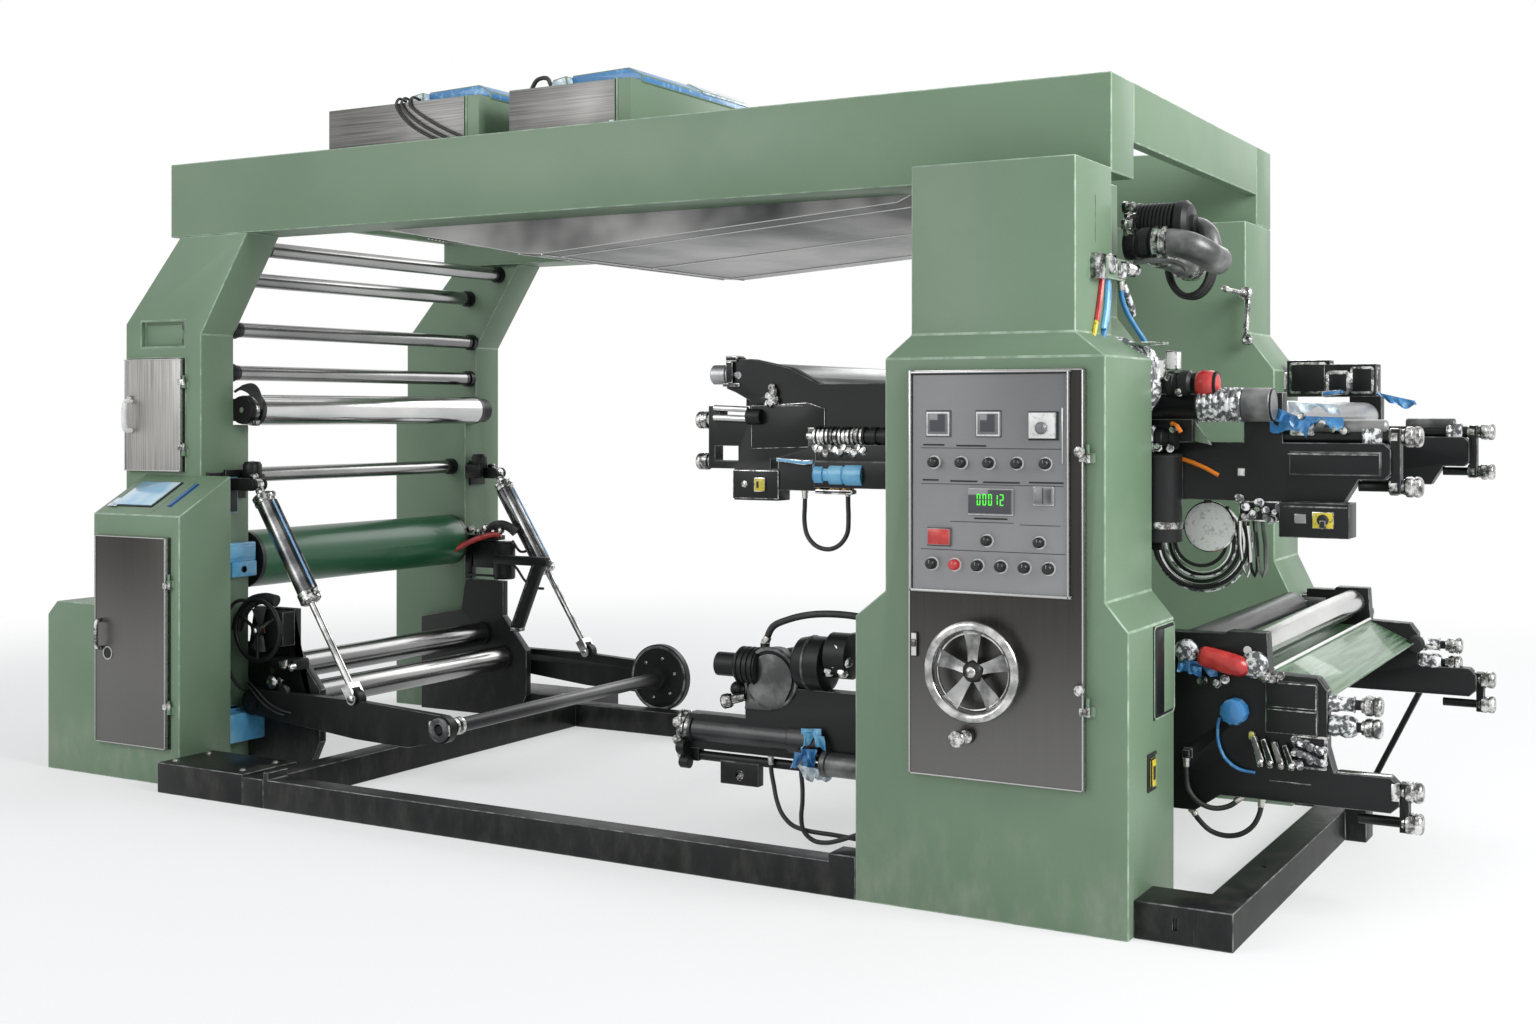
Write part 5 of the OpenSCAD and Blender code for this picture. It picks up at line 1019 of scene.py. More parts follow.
# Winding arms: two black plate arms on pivot pins at the side plates, welded with stiffening
# lips, and a clamp at each tip for the reel shaft's journal.
eased("winding_arms", 2.5, black, black_wear_and_edge_highlight, "black_paint", "winding_arms", shortest=0.02)
clamps = Part("reel_shaft_clamps", chrome)
for y, way in ((566, FRONT), (2314, BACK)):
    clamps.use(black).turned((-4200, y, 290), way, [(0, 0), (34, 0), (34, 10), (22, 14), (0, 14)], 6)
    clamps.use(chrome).turned((-3600, y, 350), way, [(0, -2), (21, -2), (21, 8), (14, 12), (0, 12)], 6)
    face = y - 4 if way is FRONT else y + 4
    inner = y + 4 if way is FRONT else y - 4
    clamps.use(black_wear_and_edge_highlight).turned((-3120, y + (2 if way is FRONT else -2), 262), way,
            [(24, 0), (50, 0), (50, 12), (44, 16), (28, 16), (24, 12)], 32, True)
    clamps.use(chrome).block(-3178, -3160, min(face, inner), max(face, inner), 232, 296, 4)
    clamps.block(-3086, -3066, min(face, inner), max(face, inner), 240, 286, 4)
clamps.done("winding_arms", "chrome_steel")


# Reel shaft: a black tube that lies in the arms' tips and carries the finished roll, with a
# cast stop flange near its far end.
shaft_black = Finish("shaft_black", (0.035, 0.036, 0.038), 0.28, 0.6)
shaft_black.set(**{"Base Color": shaft_black.blend(shaft_black.noise(4, (1, 0.2, 1), 4).fade(0.4, 0.7),
        (0.022, 0.022, 0.024), (0.12, 0.12, 0.12)),
                   "Roughness": shaft_black.noise(80, (1, 0.05, 1)) * 0.25 + 0.2})
reel = Part("reel_shaft_tube", shaft_black)
reel.turned((-3120, 560, 262), BACK, [(0, 0), (16, 0), (20, 4), (20, 56), (30, 57), (30, 1701), (20, 1702),
        (20, 1756), (16, 1760), (0, 1760)], 40)
for y in (640, 676, 2180):
    reel.use(chrome).turned((-3120, y, 262), BACK, [(30, 0), (37, 2), (37, 18), (30, 20)], 32, True)
reel.use(black).turned((-3120, 2170, 262), BACK, [(30, 0), (58, 0), (58, 40), (160, 40), (164, 44), (164,
        76), (160, 80), (58, 80), (58, 84), (30, 84)], 64, True)
# The thin bright ring at the flange's edge: wear with a painted edge highlight.
reel.use(black_wear_and_edge_highlight).turned((-3120, 2209, 262), BACK, [(146, 0), (156, -3), (158, 1.2), (148, 1.2)], 64, True)
reel.use(black).turned((-3120, 2207, 262), BACK, [(58, 0), (72, 0), (72, 6), (58, 6)], 48, True)
for k in range(6):
    a = math.radians(60 * k + 15)
    reel.use(chrome).turned((-3120 + 100 * math.cos(a), 2212, 262 + 100 * math.sin(a)), FRONT,
            [(0, 0), (9, 0), (9, 8), (6, 10), (0, 10)], 6)
reel.done("reel_shaft", "dark_steel", "reel_shaft")


# Arm cylinders: honed steel tubes between end caps with tie bolts, hung on pins from black
# brackets. A narrow blue strip is stuck along each one, and their rods lift the arms.
eased("cylinder_brackets", 2.5, black, black_wear_and_edge_highlight, "black_paint", shortest=0.02)
brackets = Part("cylinder_bracket_fittings", black)
for sign in (1, -1):
    y = lambda v: 1440 + sign * (v - 1440)
    brackets.use(black).turned((-4190, y(545), 1255), (0, sign, 0),
            [(0, 0), (20, 0), (24, 4), (24, 14), (0, 16)], 20)
    brackets.block(-4330, -4240, min(y(640), y(690)), max(y(640), y(690)), 1228, 1300, 6)
    brackets.turned((-4270, y(640), 1310), UP, [(0, -30), (38, -30), (42, -20), (42, 30), (34, 44), (0, 48)],
            20)
    brackets.use(chrome).turned((-4232, y(600), 1290), (1, 0, -0.1),
            [(0, -8), (13, -6), (16, 0), (16, 26), (10, 32), (0, 34)], 14)
brackets.done("machine_frame", "black_paint")
tube_steel = Finish("honed_tube", (0.2, 0.2, 0.205), 0.2, 1.0)
tube_steel.set(**{"Base Color": tube_steel.blend(tube_steel.noise(7, detail=4).fade(0.35, 0.7),
        (0.1, 0.1, 0.105), (0.44, 0.44, 0.44)),
                  "Roughness": tube_steel.noise(90) * 0.25 + 0.1})
pin, tip = Vector((-4190, 0, 1255)), Vector((-3600, 0, 350))
run = (tip - pin).normalized()
across = Vector((-run.z, 0, run.x))


def along_cylinder(y, d, side=0.0, over=0.0):
    """A point d millimetres down the cylinder from its upper pin."""
    spot = pin + run * d + across * side
    return (spot.x, y + over, spot.z)


barrels = Part("arm_cylinder_barrels", tube_steel)
strips = Part("cylinder_blue_strips", deep_blue)
for y, out_ in ((590, -1), (2290, 1)):
    barrels.use(tube_steel).turned(along_cylinder(y, 99), run, [(0, 0), (42, 0), (42, 462), (0, 462)], 40)
    barrels.use(chrome).turned(along_cylinder(y, 58), run,
            [(0, 0), (42, 0), (47, 4), (47, 16), (43, 19), (43, 26), (47, 29), (47, 40), (42, 44), (0, 44)],
            36)
    barrels.turned(along_cylinder(y, 552), run, [(0, 0), (43, 0), (47, 4), (47, 20), (42, 23), (47, 26), (47,
            46), (36, 54), (17, 56), (17, 57)], 36)
    barrels.use(chrome).turned(along_cylinder(y, 0, 0, -20), BACK, [(15, 0), (26, 2), (26, 38), (15, 40)],
            28, True)
    for s in (-14, 14):
        barrels.pipe([along_cylinder(y, 14, s), along_cylinder(y, 62, s * 1.4)], 7, 8)
    barrels.turned(along_cylinder(y, 82, 42, out_ * -6), tuple(across),
            [(0, -4), (16, -2), (16, 12), (12, 20), (0, 22)], 14)
    barrels.turned(along_cylinder(y, 572, 42, out_ * -6), tuple(across),
            [(0, -4), (16, -2), (16, 10), (11, 18), (0, 20)], 14)
    for s in (-1, 1):
        barrels.use(black_wear_and_edge_highlight).pipe([along_cylinder(y, 100, s * 33, -out_ * 33),
                along_cylinder(y, 560, s * 33, -out_ * 33)], 5, 8)
    strips.use(sky_plastic).pipe([along_cylinder(y, 112, 42.5, 2), along_cylinder(y, 300, 42.8, 2),
            along_cylinder(y, 540, 42.5, 2)], 3.5, 6)
    strips.use(deep_blue).pipe([along_cylinder(y, 120, 42.5, 8), along_cylinder(y, 536, 42.5, 8)], 3, 6)
barrels.done("arm_cylinders", "chrome_steel", "arm_cylinders")
strips.done("arm_cylinders", "hose_plastic")
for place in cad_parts["cylinder_rods"].material_slots:
    place.material = polished.material
lug = Part("rod_end_pins", chrome)
for y in (590, 2290):
    for way, start in ((FRONT, y - 35), (BACK, y + 35)):
        lug.turned((-3600, start, 350), way, [(0, 0), (17, 0), (17, 6), (11, 9), (0, 9)], 6)
lug.done("cylinder_rods", "chrome_steel")


# Brake valves on the rear column: a black bracket with cast valve bodies, a red hose that
# is clamped at both ends, and thin black pipes bent down to the winding station.
valves = Part("brake_valve_bracket", black)
valves.block(-4335, -4290, 2200, 2240, 700, 905, 4)
valves.block(-4310, -4130, 2190, 2280, 905, 930, 3)
valves.block(-4280, -4080, 2196, 2272, 760, 900, 10)
valves.turned((-4100, 2234, 700), UP, [(0, 0), (52, 4), (58, 12), (58, 190), (50, 200), (0, 204)], 24)
valves.use(rubber).pipe(smooth_route([(-4180, 2200, 940), (-4150, 2196, 975), (-4090, 2200, 990),
        (-4040, 2206, 975), (-4010, 2214, 950)]), 24, 10)
for k, (x, z) in enumerate(((-4290, 962), (-4240, 948), (-4190, 968), (-4140, 950), (-4090, 960))):
    valves.use(chrome).turned((x, 2190 + 8 * (k % 2), z), (0.6, -0.2, 0.3),
            [(0, -22), (15, -20), (20, -8), (20, 10), (12, 20), (0, 22)], 14)
valves.use(black).block(-4320, -4060, 2180, 2190, 716, 728, 2)
valves.done("machine_frame", "black_paint")
brake_hoses = Part("brake_pipes", signal_red)
brake_hoses.pipe(smooth_route([(-4090, 2196, 940), (-4150, 2170, 935), (-4230, 2130, 905),
        (-4290, 2085, 868), (-4330, 2046, 842)]), 15, 12)
brake_hoses.use(rubber)
brake_hoses.pipe(smooth_route([(-4322, 2050, 852), (-4370, 1990, 840), (-4400, 1940, 820)]), 9, 8)
brake_hoses.pipe(smooth_route([(-4316, 2040, 832), (-4360, 1985, 812), (-4396, 1935, 790)]), 8, 8)
brake_hoses.pipe(smooth_route([(-4060, 2250, 905), (-4020, 2262, 850), (-3975, 2270, 858),
        (-3955, 2276, 905), (-3960, 2280, 940)]), 7, 8)
brake_hoses.pipe(smooth_route([(-4120, 2190, 790), (-4050, 2190, 800), (-4005, 2210, 770),
        (-3960, 2230, 700), (-3900, 2238, 668), (-3850, 2242, 664)]), 7, 8)
brake_hoses.done("machine_frame", "black_rubber")


# Left decks: black side plates flame-cut from thick plate and bolted to the press columns.
# Chromed slides, clamp screws and glassy hand knobs at their ends set the rollers.
def hand_knob(part, x, y, z, way, r=30, long=62):
    """A round hand knob of mottled chrome, with a waist and a crowned end."""
    part.use(chrome).turned((x - way, y, z), (way, 0, 0),
            [(0, 0), (r - 9, 0), (r - 7, 8), (r - 1, 13), (r, 18), (r, 30), (r - 3, 33), (r - 3, 37),
                                                            (r, 40), (r, long - 9), (r - 3, long - 4),
                                                            (r - 9, long), (0, long + 1)], 28)


def pinched(part, x, y, z, way, r, long):
    """A hexagon collar and a lock nut on a slide."""
    part.turned((x, y, z), (way, 0, 0), [(0, 0), (r, 0), (r, long), (r - 5, long + 2), (r - 5, long + 6),
            (r - 1, long + 8), (r - 1, long + 18), (0, long + 18)], 6)


def film_strip(part, start, end, drop, turn, lean=0.0):
    """A torn, creased strip of film that hangs from the line start-end."""
    across, down = 18, 7
    sheets = []
    for back_off in (0.0, 3.0):
        sheet = []
        for i in range(across + 1):
            u = i / across
            reach = drop * (0.62 + 0.25 * math.sin(6.1 * u + turn) + 0.13 * math.sin(15 * u + 2.3 * turn))
            for j in range(down + 1):
                v = j / down
                wave = 9 * math.sin(11 * u + turn + 2 * v) + 5 * math.sin(23 * u - 3 * v + turn)
                sheet.append(part.mesh.verts.new((start[0] + (end[0] - start[0]) * u + lean * v,
                        start[1] + (end[1] - start[1]) * u + wave * (0.3 + 0.7 * v) + back_off,
                                                  start[2] + (end[2] - start[2]) * u - reach * v)))
        sheets.append(sheet)
    row = down + 1
    for i in range(across):
        for j in range(down):
            quad = (i * row + j, (i + 1) * row + j, (i + 1) * row + j + 1, i * row + j + 1)
            part.face([sheets[0][k] for k in quad])
            part.face([sheets[1][k] for k in reversed(quad)])
    edge = [i * row for i in range(across + 1)] + [across * row + j for j in range(1,
            row)] + [i * row + down for i in range(across - 1, -1, -1)] + [j for j in range(down - 1, 0, -1)]
    for a, b in zip(edge, edge[1:] + edge[:1]):
        part.face([sheets[1][a], sheets[1][b], sheets[0][b], sheets[0][a]])


brass = Finish("brass_fitting", (0.45, 0.26, 0.06), 0.28, 1.0)
brass.set(**{"Base Color": brass.blend(brass.noise(60, detail=5).fade(0.4, 0.62), (0.2, 0.11, 0.03),
        (0.6, 0.38, 0.1)), "Roughness": brass.noise(80) * 0.3 + 0.15})
for deck in ("left_upper_deck", "left_lower_deck"):
    eased(deck, 2.5, black, black_wear_and_edge_highlight, "black_paint", shortest=0.02)
half_plate = 30
deck_plates = ((620, True), (2260, False))


def plate_face(y, near):
    """Outwards from the deck plate at y: its sign, a point beyond its face, and a span."""
    way = -1 if near else 1

    def beyond(d):
        return y + way * (half_plate + d)

    return way, beyond, lambda a, b: sorted((beyond(a), beyond(b)))


upper_left = Part("left_upper_deck_fittings", chrome)
for y, near in deck_plates:
    out_, side, lo_hi = plate_face(y, near)
    upper_left.use(grey_roller).turned((-1700, y, 1718), LEFT,
            [(24, -6), (29, 0), (31, 4), (31, 62), (27, 68), (0, 69)], 28)
    upper_left.turned((-1758, y, 1718), LEFT, [(31, 0), (37, 2), (37, 60), (33, 64), (0, 65)], 28)
    upper_left.use(black).block(-1766, -1690, *lo_hi(-62, 6), 1672, 1686, 4)
    upper_left.block(-1752, -1700, *lo_hi(-62, 8), 1766, 1788, 5)
    upper_left.block(-1746, -1716, *lo_hi(2, 14), 1686, 1766, 3)
    hand_knob(upper_left, -1831, y, 1547, -1, 33)
    hand_knob(upper_left, -1831, y, 1390, -1, 32)
    for z in (1547, 1390):
        upper_left.use(chrome)
        pinched(upper_left, -1832, y, z, -1, 24, 10)
    if not near:
        continue
    for dz, r in ((46, 11), (10, 13)):
        upper_left.use(bright_roller).rod((-1800, side(7), 1547 + dz), (-1652, side(7), 1547 + dz - 6), r,
                20, 2)
    upper_left.use(black).turned((-1650, side(7), 1560), LEFT,
            [(0, -60), (28, -58), (30, -50), (30, 0), (18, 4), (0, 4)], 20)
    upper_left.use(black).pipe([(-1666, side(-20), 1600), (-1664, side(-20), 1684)], 9, 8)
    upper_left.use(chrome)
    for dx, dz in ((0, 0), (22, 14), (6, -24), (28, -16), (14, 30)):
        upper_left.turned((-1560 + dx, side(0), 1635 + dz), (-0.3, out_ * 0.9, 0.2),
                [(0, -4), (15, -2), (18, 4), (18, 12), (12, 18), (0, 20)], 14)
    upper_left.use(black).slab("xz", [(-1640, 1600), (-1400, 1612), (-1330, 1590), (-1330, 1450), (-1640,
            1440)], *lo_hi(0, 5), 2)
    # A thin bright line at the plate's edge: wear with a painted edge highlight.
    upper_left.use(black_wear_and_edge_highlight).block(-1640, -1420, *lo_hi(4, 6), 1598, 1602, 0.5)
    upper_left.use(black_wear_and_edge_highlight).block(-1398, -1350, *lo_hi(3, 8), 1452, 1520, 2)
    upper_left.use(black).block(-1702, -1506, *lo_hi(30, 36), 1256, 1362, 6)
    upper_left.use(signal_yellow).block(-1608, -1558, *lo_hi(35, 43), 1282, 1336, 4)
    upper_left.use(shadow_gap).block(-1596, -1586, *lo_hi(42, 44.5), 1296, 1322, 1)
    upper_left.use(chrome).turned((-1650, side(36), 1310), (0, out_, 0),
            [(0, -2), (14, -2), (14, 2), (8, 5), (0, 6)], 6)
    upper_left.use(sky_plastic).slab("xz", [(-1512, 1410), (-1512, 1396), (-1398, 1384), (-1358, 1388),
            (-1356, 1404), (-1400, 1402)], *lo_hi(20, 44), 3)
    upper_left.use(deep_blue).slab("xz", [(-1366, 1404), (-1352, 1400), (-1350, 1350), (-1362, 1372)],
            *lo_hi(22, 40), 2)
    upper_left.use(chrome).turned((-1344, side(60), 1490), RIGHT,
            [(12, -30), (15, -26), (15, 0), (28, 4)] + [(r, 8 + 17 * i + d) for i in range(12) for r,
            d in ((31, 0), (36, 3), (36, 10), (31, 13))] + [(28, 212), (0, 212)], 28)
    upper_left.use(chrome)
    for k in range(11):
        upper_left.turned((-1326 + 19 * k, side(70), 1448 - 9 * (k % 3)), (0.2 * (k % 3 - 1), out_, 0.3),
                [(0, -20), (14, -18), (19, -8), (19, 6), (12, 16), (0, 18)], 12)
    upper_left.use(black).block(-1330, -1134, *lo_hi(30, 66), 1404, 1440, 8)
    upper_left.use(sky_plastic).turned((-1336, side(62), 1352), RIGHT,
            [(0, 0), (34, 2), (41, 10), (41, 42), (36, 46), (36, 62), (44, 70), (44, 120), (40, 126),
            (46, 134), (46, 200), (0, 201)], 24)
    upper_left.use(brass)
    for k, x in enumerate((-1318, -1262, -1238, -1214, -1196)):
        upper_left.turned((x, side(64), 1308 - 4 * (k % 2)), (0.2, 0, -1),
                [(0, -16), (13, -14), (17, -6), (17, 4), (10, 12), (0, 14)], 12)
    upper_left.use(black).block(-1334, -1180, *lo_hi(40, 80), 1282, 1300, 6)
upper_left.done("machine_frame", "chrome_steel")
strap = Part("left_roller_strap", grey_roller)
for y in (600, 2280):
    bow = smooth_route([(-1640, y, 1762), (-1560, y, 1752), (-1500, y, 1722), (-1460, y, 1690),
            (-1400, y, 1640), (-1366, y, 1580), (-1352, y, 1520)])
    for a, b in zip(bow, bow[1:]):
        w0 = 26 - 22 * min(1, (a.x + 1640) / 200)
        side_ = 26 - 22 * min(1, (b.x + 1640) / 200)
        row = [strap.mesh.verts.new(c) for c in ((a.x, y, a.z - w0), (a.x, y, a.z + 4), (b.x, y, b.z + 4),
                (b.x, y, b.z - side_),
                                                 (a.x, y - 4, a.z - w0), (a.x, y - 4, a.z + 4),
                                                 (b.x, y - 4, b.z + 4), (b.x, y - 4, b.z - side_))]
        for quad in ((0, 1, 2, 3), (7, 6, 5, 4), (0, 4, 5, 1), (1, 5, 6, 2), (2, 6, 7, 3), (3, 7, 4, 0)):
            strap.face([row[i] for i in quad])
strap.done("machine_frame", "brushed_stainless")


# Left lower deck: a long black cylinder arm with a chromed clamp at its end, a half-round
# roller guard whose bright rim is rubbed wear with a painted highlight, and a drilled lug under it.
lower_left = Part("left_lower_deck_fittings", black)
for y, near in deck_plates:
    out_, side, lo_hi = plate_face(y, near)
    lower_left.use(dark_roller).turned((-1915, y, 368), RIGHT,
            [(0, 0), (52, 0), (58, 6), (58, 14), (50, 18), (50, 430), (58, 436), (58, 560), (0, 561)], 40)
    lower_left.use(chrome).turned((-1968, y, 368), RIGHT,
            [(0, 0), (44, 4), (56, 10), (64, 18), (64, 40), (58, 44), (58, 58), (0, 59)], 24)
    for dz in (-38, 30):
        lower_left.turned((-1952, side(26), 368 + dz), (0, out_, 0),
                [(0, -20), (16, -18), (20, -8), (20, 6), (12, 14), (0, 16)], 14)
    lower_left.use(black).turned((-1950, side(20), 305), RIGHT,
            [(0, 0), (26, 0), (30, 6), (30, 36), (0, 38)], 18)
    lower_left.turned((-1940, side(20), 250), RIGHT, [(0, 0), (20, 0), (24, 5), (24, 40), (0, 42)], 18)
    for z in (409, 270):
        hand_knob(lower_left, -1917, y, z, -1, 30, 58)
    lower_left.use(chrome).turned((-1700, side(0), 205), (0, out_, 0),
            [(0, -26), (22, -26), (22, -16), (13, -10), (0, -9)], 6)
    # The guard's bright rim: rubbed wear with a painted edge highlight.
    lower_left.use(black_wear_and_edge_highlight).turned((-1558, y, 590), (0, out_, 0),
            [(104, 26), (113, 24), (117, 31), (113, 38), (104, 38)], 56, True)
    lower_left.use(duct_grey).slab("xz", [(-1668, 470), (-1558, 470), (-1500, 500), (-1470, 560), (-1466,
            590)] + [(-1558 + 92 * math.cos(math.radians(a)),
            590 + 92 * math.sin(math.radians(a))) for a in range(0, 181, 12)] + [(-1650, 560)], *lo_hi(2, 7),
            2)
    lower_left.use(black).turned((-1712, y, 625), RIGHT, [(0, 0), (60, 2), (68, 12), (68, 96), (60, 104), (0,
            106)], 26)
    for k in range(4):
        lower_left.use(black).turned((-1700 + 22 * k, y, 625), RIGHT, [(68, 0), (73, 3), (73, 10), (68, 13)],
                26, True)
    lower_left.use(chrome).turned((-1700, side(20), 505), (-1, out_ * 0.3, -0.25),
            [(0, -40), (15, -38), (17, 10), (24, 14), (28, 22), (28, 46), (20, 54), (0, 56)], 18)
    lower_left.use(black).turned((-1460, y, 655), RIGHT, [(0, 0), (72, 4), (92, 20), (100, 60), (100, 130),
            (60, 150), (0, 150)], 26)
    # A bright ring at the cylinder's rim: wear with a painted edge highlight.
    lower_left.use(black_wear_and_edge_highlight).turned((-1400, y, 655), RIGHT, [(100, 0), (103, 3), (103, 9), (100, 12)], 32,
            True)
    lower_left.use(chrome)
    for k, (x, z) in enumerate(((-1300, 690), (-1276, 664), (-1302, 640), (-1256, 700), (-1246, 640),
            (-1230, 676), (-1268, 720))):
        lower_left.turned((x, side(26), z), (0.2 * (k % 3 - 1), out_, 0.25),
                [(0, -24), (17, -22), (22, -8), (22, 8), (13, 18), (0, 20)], 12)
    lower_left.use(black).turned((-1330, y, 690), RIGHT, [(0, 0), (70, 4), (84, 16), (84, 100), (50, 120),
            (0, 121)], 24)
    if not near:
        continue
    lower_left.use(sky_plastic)
    film_strip(lower_left, (-1420, 566, 420), (-1330, 560, 428), 84, 0.7)
    film_strip(lower_left, (-1396, 556, 410), (-1318, 552, 402), 62, 2.9, 12)
    lower_left.use(blue_film)
    film_strip(lower_left, (-1440, 552, 336), (-1352, 548, 330), 80, 1.8, -10)
    film_strip(lower_left, (-1404, 544, 350), (-1340, 540, 356), 66, 3.9)
    lower_left.use(clear_film)
    film_strip(lower_left, (-1416, 538, 292), (-1330, 536, 286), 58, 5.2, 8)
    lower_left.use(duct_grey).turned((-1330, side(20), 300), RIGHT,
            [(0, 0), (44, 2), (50, 8), (50, 26), (44, 30), (44, 200), (0, 201)], 28)
    lower_left.use(clear_film).turned((-1360, side(26), 262), (1, 0, -0.1),
            [(0, 0), (16, 4), (21, 18), (17, 34), (22, 52), (10, 66), (0, 68)], 12)
lower_left.done("machine_frame", "black_paint")


# Right upper deck: the twin of the left one, with its valve, clamp screws and a switch box
# hung under the arm. Shipping film still clings to the slides.
orange_wire = Finish("orange_wire", (0.75, 0.2, 0.01), 0.45)
orange_wire.set(**{"Roughness": orange_wire.noise(90) * 0.2 + 0.35})
spray_white = Finish("crushed_white_foil", (0.7, 0.71, 0.72), 0.25, 0.35)
crease = spray_white.noise(55, detail=6)
spray_white.set(**{"Base Color": spray_white.blend(crease.fade(0.47, 0.56), (0.12, 0.125, 0.13),
        (0.82, 0.83, 0.84)), "Roughness": crease * 0.4 + 0.1})
spray_white.bump(crease, 0.004, 0.6)


def lumps(part, spots, out_, size=1.0):
    """A cluster of small unions, nuts and elbows."""
    for k, (x, y, z) in enumerate(spots):
        part.turned((x, y, z), (0.35 * math.sin(2.1 * k), out_, 0.3 * math.cos(1.7 * k)),
                [(0, -18), (14 * size, -16), (15 * size, -3), (9 * size, -1), (9 * size, 5), (13 * size, 7),
                (12 * size, 17), (0, 18)], (6, 10)[k % 2])


for deck in ("right_upper_deck", "right_lower_deck"):
    eased(deck, 2.5, black, black_wear_and_edge_highlight, "black_paint", shortest=0.02)
upper_right = Part("right_upper_deck_fittings", chrome)
for y, near in deck_plates:
    out_, side, lo_hi = plate_face(y, near)
    for z in (1500, 1345):
        hand_knob(upper_right, 671, y, z, 1, 32, 60)
        upper_right.turned((636, y, z), RIGHT, [(0, -4), (25, -4), (27, 0), (27, 22), (21, 26), (21, 32), (0,
                32)], 8)
    upper_right.use(spray_white).turned((556, y, 1500), RIGHT,
            [(24, -4), (33, 0), (36, 10), (31, 18), (36, 30), (34, 52), (24, 58)], 20)
    if not near:
        upper_right.use(duct_grey).turned((430, y, 1530), RIGHT,
                [(0, -30), (20, -28), (23, -20), (23, 150), (18, 156), (0, 157)], 22)
        continue
    # A thin bright line along the plate: wear with a painted edge highlight.
    upper_right.use(black_wear_and_edge_highlight).block(330, 606, *lo_hi(12, 14), 1442, 1446, 1)
    upper_right.use(duct_grey).turned((430, y, 1530), RIGHT,
            [(0, -30), (20, -28), (23, -20), (23, 190), (18, 196), (0, 197)], 22)
    upper_right.use(white_grip).block(168, 194, *lo_hi(-2, 6), 1370, 1398, 6)
    upper_right.use(signal_yellow).block(414, 482, *lo_hi(50, 56), 1212, 1266, 5)
    upper_right.use(shadow_gap).turned((448, side(55), 1240), (0, out_, 0),
            [(0, 0), (17, 0), (18, 3), (12, 8), (0, 8)], 20)
    upper_right.block(438, 458, *lo_hi(56, 64), 1214, 1240, 3)
    upper_right.use(panel_grey).block(360, 396, *lo_hi(50, 53), 1228, 1258, 3)
    # A thin bright line along the plate: wear with a painted edge highlight.
    upper_right.use(black_wear_and_edge_highlight).block(326, 520, *lo_hi(50, 51.5), 1278, 1282, 1)
    upper_right.use(black).block(172, 312, *lo_hi(-50, 8), 1226, 1294, 6)
    upper_right.use(spray_white)
    lumps(upper_right, [(178 + 21 * k, side(12 + 4 * (k % 2)),
            1300 - 22 * (k % 3) - 4 * k) for k in range(7)], out_)
    upper_right.use(chrome)
    lumps(upper_right, [(196 + 23 * k, side(14), 1240 + 16 * (k % 3)) for k in range(5)], out_, 0.8)
    for k, x in enumerate((172, 196, 222)):
        upper_right.use((bright_roller, black, duct_grey)[k]).pipe([(x - 8, side(-44), 1230),
                (x - 10, side(-60), 1150), (x - 4, side(-74), 1070), (x + 8, side(-80), 1044),
                (x + 18, side(-74), 1070), (x + 20, side(-60), 1150), (x + 14, side(-44), 1230)], 7, 8)
upper_right.use(spray_white).turned((34, 528, 1600), RIGHT,
        [(0, 0), (36, 0), (40, 6), (38, 26)] + [(r, 30 + 18 * i + d) for i in range(8) for r,
        d in ((51, 0), (56, 4), (56, 11), (51, 15))] + [(46, 176), (0, 176)], 36)
upper_right.use(duct_grey).turned((204, 528, 1600), RIGHT,
        [(0, 0), (48, 0), (54, 4), (54, 88), (48, 96), (0, 97)], 36)
upper_right.use(spray_white).turned((-174, 510, 1490), RIGHT,
        [(0, 0), (30, 0)] + [(r, 4 + 12 * i + d) for i in range(8) for r,
        d in ((40, 0), (44, 3), (44, 7), (40, 10))] + [(30, 102), (0, 102)], 32)
upper_right.use(black).turned((-70, 510, 1490), RIGHT, [(28, -4), (34, 0), (34, 20), (30, 24), (30, 44), (34,
        48), (34, 66), (0, 68)], 24)
upper_right.use(chrome)
lumps(upper_right, [(-58, 478, 1462), (-20, 480, 1460), (-6, 486, 1524)], -1, 0.9)
upper_right.use(orange_wire).pipe([(-20, 500, 1540), (0, 490, 1532), (12, 494, 1512)], 8, 8)
upper_right.pipe([(-10, 584, 1424), (28, 580, 1412), (70, 582, 1394), (108, 586, 1372)], 7, 8)
upper_right.use(signal_red).turned((56, 520, 1665), RIGHT,
        [(0, 0), (36, 0), (42, 5), (46, 16), (47, 36), (44, 56), (36, 68), (20, 74), (0, 75)], 32)
upper_right.use(black).turned((-30, 520, 1665), RIGHT, [(38, -8), (44, -2), (44, 14), (39, 18), (39, 30),
        (47, 36), (47, 64), (40, 70), (34, 84)], 28, True)
upper_right.use(white_grip).block(-122, -36, 486, 558, 1683, 1750, 7)
upper_right.block(-40, -2, 492, 550, 1712, 1776, 6)
upper_right.use(chrome)
lumps(upper_right, [(-100, 484, 1700), (-66, 484, 1712), (-24, 490, 1690), (10, 484, 1640),
        (-60, 486, 1640)], -1, 0.85)
upper_right.use(spray_white)
for k in range(4):
    upper_right.pipe(smooth_route([(-184, 420 + 16 * k, 1806 - 6 * k),
            (-150 + 7 * k, 432 + 16 * k, 1800 - 5 * k), (-112 + 9 * k, 440 + 15 * k, 1765),
            (-90 + 8 * k, 444 + 14 * k, 1700), (-94 + 9 * k, 448 + 13 * k, 1630),
            (-120 + 10 * k, 456 + 12 * k, 1590)]), 15, 10)
upper_right.use(green).slab("xz", [(29, 1563), (96, 1470), (29, 1484)], 552, 562, 2)
upper_right.use(blue_film)
film_strip(upper_right, (272, 584, 1568), (500, 590, 1560), 64, 0.4)
film_strip(upper_right, (300, 576, 1590), (400, 582, 1545), 52, 2.2, -14)
